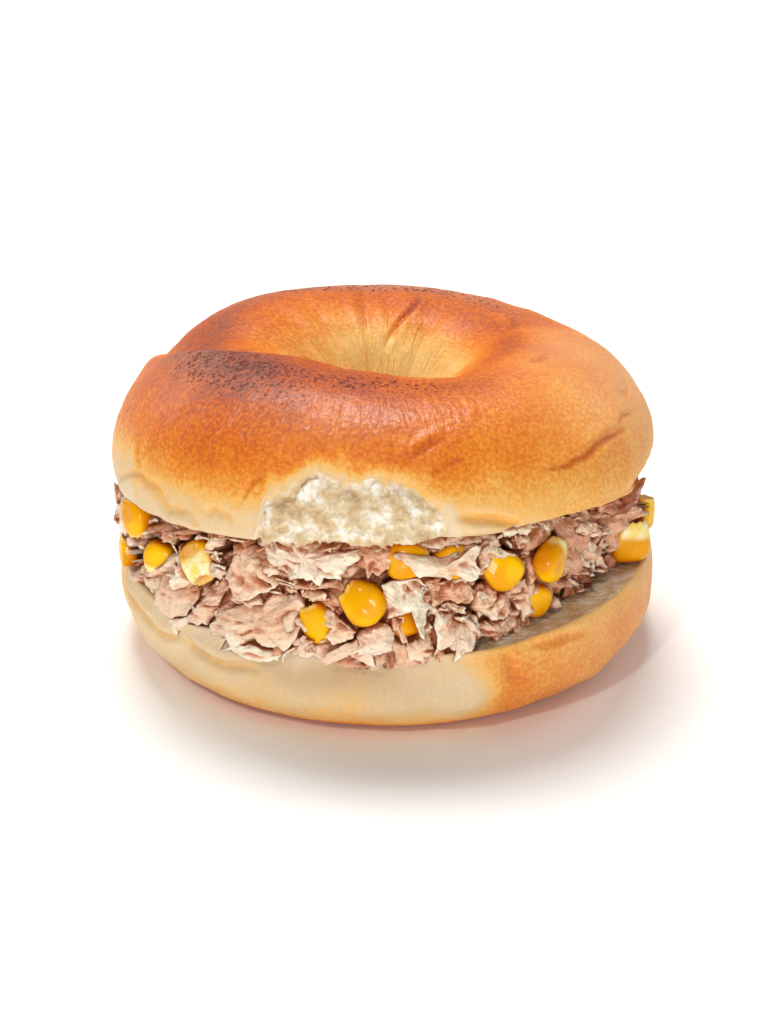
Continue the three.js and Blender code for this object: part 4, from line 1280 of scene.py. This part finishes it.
def shred(random, length):
    """Tapering strand that droops and stands out: (arc, rise, out) in mm from where it is rooted."""
    sides, steps = SHREDS["sides"], SHREDS["steps"]
    heading = random.normal(0, 0.7) + (math.pi if random.random() < 0.5 else 0)
    share = np.linspace(0, 1, steps)
    taper = (1 - share ** 2) ** 0.6 * (0.35 + 0.65 * smoothstep(share, 0, 0.25))
    thick = random.uniform(0.1, 0.34) * taper + 0.04
    arc = length * share * math.cos(heading) + 0.5 * np.sin(share * 5 + random.uniform(0, 6))
    rise = length * share * math.sin(heading) - 0.1 * length * share ** 2
    stand = random.uniform(-0.6, 0.5) + random.uniform(0.05, 0.35) * length * share ** 1.5
    theta = np.arange(sides) / sides * 2 * np.pi
    round_it = thick[:, None] * (1 + 0.3 * random.normal(0, 1, (steps, sides)))
    x = arc[:, None] - math.sin(heading) * round_it * np.cos(theta)
    y = rise[:, None] + math.cos(heading) * round_it * np.cos(theta) * 1.6
    return x, y, stand[:, None] + round_it * np.sin(theta)


def build_shreds(material, kernels):
    """Thin torn strands and crumbs of fish that stick out of the mass."""
    random = np.random.default_rng(SHREDS["seed"])
    heap = Heap()
    faces = tube_faces(SHREDS["steps"], SHREDS["sides"])
    for _ in range(SHREDS["count"]):
        angle = random.uniform(0, 360)
        climb = random.uniform(0.04, 0.96)
        height = heel_cut(angle) + (crown_cut(angle) - heel_cut(angle)) * climb
        length = random.uniform(1.2, 5) * random.uniform(0.6, 1.1)
        if near_kernel(kernels, angle, height, 4.8 + 0.3 * length):
            continue
        x, y, out = shred(random, length)
        ring = angle + np.degrees(x / WALL)
        points = pressed(on_ring(ring, wall_reach(ring, climb) + out, height + y).reshape(-1, 3))
        fibre = np.stack([x, y, 0 * x], -1).reshape(-1, 3) + random.uniform(0, 300, 3)
        heap.add(points, faces, tone=random.uniform(0.3, 1), rim=0.5, pit=0.0, fibre=fibre)
    return heap.piece("tuna_shreds", material)


# Sweetcorn, on the axes of the kernels' solids

def flat_end(mesh):
    """Middle of a kernel's cut end, its largest flat face, the direction away from it, and all points."""
    cage = bmesh.new()
    cage.from_mesh(mesh)
    alike = []
    for face in cage.faces:
        level = [other for other in cage.faces if other.normal.dot(face.normal) > 0.9999]
        if len(level) > len(alike):
            alike, towards = level, -face.normal.copy()
    area = sum(face.calc_area() for face in alike)
    middle = sum((face.calc_center_median() * face.calc_area() for face in alike), Vector()) / area
    points = np.unique(np.array([v.co for v in cage.verts]).round(7), axis=0) / MM - RING_CENTRE
    cage.free()
    return np.array(middle) / MM - RING_CENTRE, np.array(towards), points


def kernel_axes(mesh):
    """Middle, size and axes of a kernel's solid: width, length towards the broad end, and thickness."""
    end, length_axis, points = flat_end(mesh)
    middle = end + length_axis * np.ptp((points - points.mean(axis=0)) @ length_axis) / 2
    beside = (points - middle) - np.outer((points - middle) @ length_axis, length_axis)
    _, _, axes = np.linalg.svd(beside - beside.mean(axis=0))
    width_axis = axes[0] - length_axis * (axes[0] @ length_axis)
    width_axis /= np.linalg.norm(width_axis)
    thick_axis = np.cross(width_axis, length_axis)
    if thick_axis @ middle < 0:
        width_axis, thick_axis = -width_axis, -thick_axis
    spans = [np.ptp((points - middle) @ axis) / 2 for axis in (width_axis, length_axis, thick_axis)]
    return {"middle": middle, "spans": np.array(spans), "size": spans[1] * 2 / KERNEL["length"],
            "axes": np.array([width_axis, length_axis, thick_axis])}


def kernel_surface(random):
    """Kernel of unit half sizes: broad domed end, flattened sides, and a dished, ragged cut end."""
    rings, spokes = KERNEL["rings"], KERNEL["spokes"]
    polar = np.linspace(0, np.pi, rings)[:, None]
    around = np.arange(spokes)[None, :] / spokes * 2 * np.pi
    level = np.sin(polar)
    ball = np.stack([level * np.cos(around), np.cos(polar) + 0 * around, level * np.sin(around)])
    n = KERNEL["boxiness"]
    x, y, z = ball * (np.abs(ball) ** n).sum(axis=0) ** (-1 / n)
    narrow = KERNEL["cut_width"] + (1 - KERNEL["cut_width"]) * smoothstep(y, -1, 0.3)
    across = np.hypot(x, z)
    cut = KERNEL["cut_at"]
    torn = 0.05 * random.normal(0, 1, (1, spokes)) * smoothstep(across, 0.4, 0.9)
    is_cut = smoothstep(y, cut + 0.06, cut - 0.06)
    y = np.maximum(y, cut + torn) + 0.16 * is_cut * bell(across / 0.55)
    dimple = 0.1 * bell((y - 0.35) / 0.4) * bell(x * narrow / 0.45)
    y = (y - (1 + cut) / 2) / ((1 - cut) / 2)
    return np.stack([x * narrow, y, z * narrow * (1 - dimple)], -1), is_cut


def build_kernels(kernels, material):
    random = np.random.default_rng(KERNEL["seed"])
    faces = tube_faces(KERNEL["rings"], KERNEL["spokes"])
    for name, kernel in kernels.items():
        unit, is_cut = kernel_surface(random)
        sized = 0.98 * unit * kernel["spans"]
        sized = sized * (1 + 0.055 * noise(sized + random.uniform(0, 90, 3), 3.2, 3))[..., None]
        points = within(sized @ kernel["axes"] + kernel["middle"], *CRUST_LIMIT)
        x, y, z = np.moveaxis(unit, -1, 0)
        pale = PALE_ENDS.get(name, PALE_END)
        tip = smoothstep(y, 2 * pale - 1, 2 * pale - 1.9)
        # Side is where the painted shade of the kernel's sides falls
        fields = {"side": smoothstep(np.hypot(x, 0.8 * y), 0.75, 1.15), "tip": np.maximum(tip, is_cut),
                  "cup": is_cut * bell(np.hypot(x, z) / 0.5), "tone": random.uniform(0.1, 0.6)}
        make_piece("kernel_" + name[-2:], points, faces, fields, material, [name])


# Floor, light and camera

def build_stage():
    mesh = bpy.data.meshes.new("floor")
    corners = [(x * FLOOR_SIDE, y * FLOOR_SIDE, 0) for x, y in ((-1, -1), (1, -1), (1, 1), (-1, 1))]
    mesh.from_pydata(corners, [], [(0, 1, 2, 3)])
    floor = placed("floor", mesh)
    n = Nodes("white_floor")
    n.set(Base_Color=n.mix(n.noise(0.4, detail=1), *FLOOR), Roughness=0.6)
    mesh.materials.append(n.material)


def add_light(name, place, size, power, colour=(1, 1, 1)):
    light = bpy.data.lights.new(name, "AREA")
    light.shape = "DISK"
    light.size = size
    light.energy = power
    light.color = colour
    lamp = placed(name, light)
    lamp.location = place
    lamp.rotation_euler = (Vector(LIGHT_AIM) - Vector(place)).to_track_quat("-Z", "Y").to_euler()


def build_light():
    for light in LIGHTS:
        add_light(**light)
    world = bpy.data.worlds.new("studio")
    world.use_nodes = True
    background = world.node_tree.nodes["Background"]
    background.inputs["Color"].default_value = (1, 1, 1, 1)
    background.inputs["Strength"].default_value = SURROUNDING_LIGHT
    bpy.context.scene.world = world
    bpy.context.scene.view_settings.view_transform = "Standard"


def build_camera():
    back, _ = view_axes()
    aim = (RING_CENTRE + np.array([0, 0, CAMERA["aim_height"]])) * MM
    camera = bpy.data.cameras.new("camera")
    camera.sensor_width = SENSOR
    camera.lens = SENSOR * CAMERA["distance"] * CAMERA["pixels_per_mm"] / PICTURE_HEIGHT
    eye = placed("camera", camera)
    eye.location = Vector(aim + back * CAMERA["distance"] * MM)
    eye.rotation_euler = Vector(-back).to_track_quat("-Z", "Y").to_euler()
    bpy.context.scene.camera = eye


build_camera()
build_light()
build_stage()
build_crown()
build_heel()
kernels = {name: kernel_axes(node.data) for name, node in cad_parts.items()
           if name.startswith("sweetcorn")}
tuna = tuna_material("tuna_flesh")
build_kernels(kernels, corn_material())
build_mash(tuna, list(kernels.values()))
build_sheets(tuna)
build_flakes(tuna, list(kernels.values()))
build_shreds(tuna, list(kernels.values()))
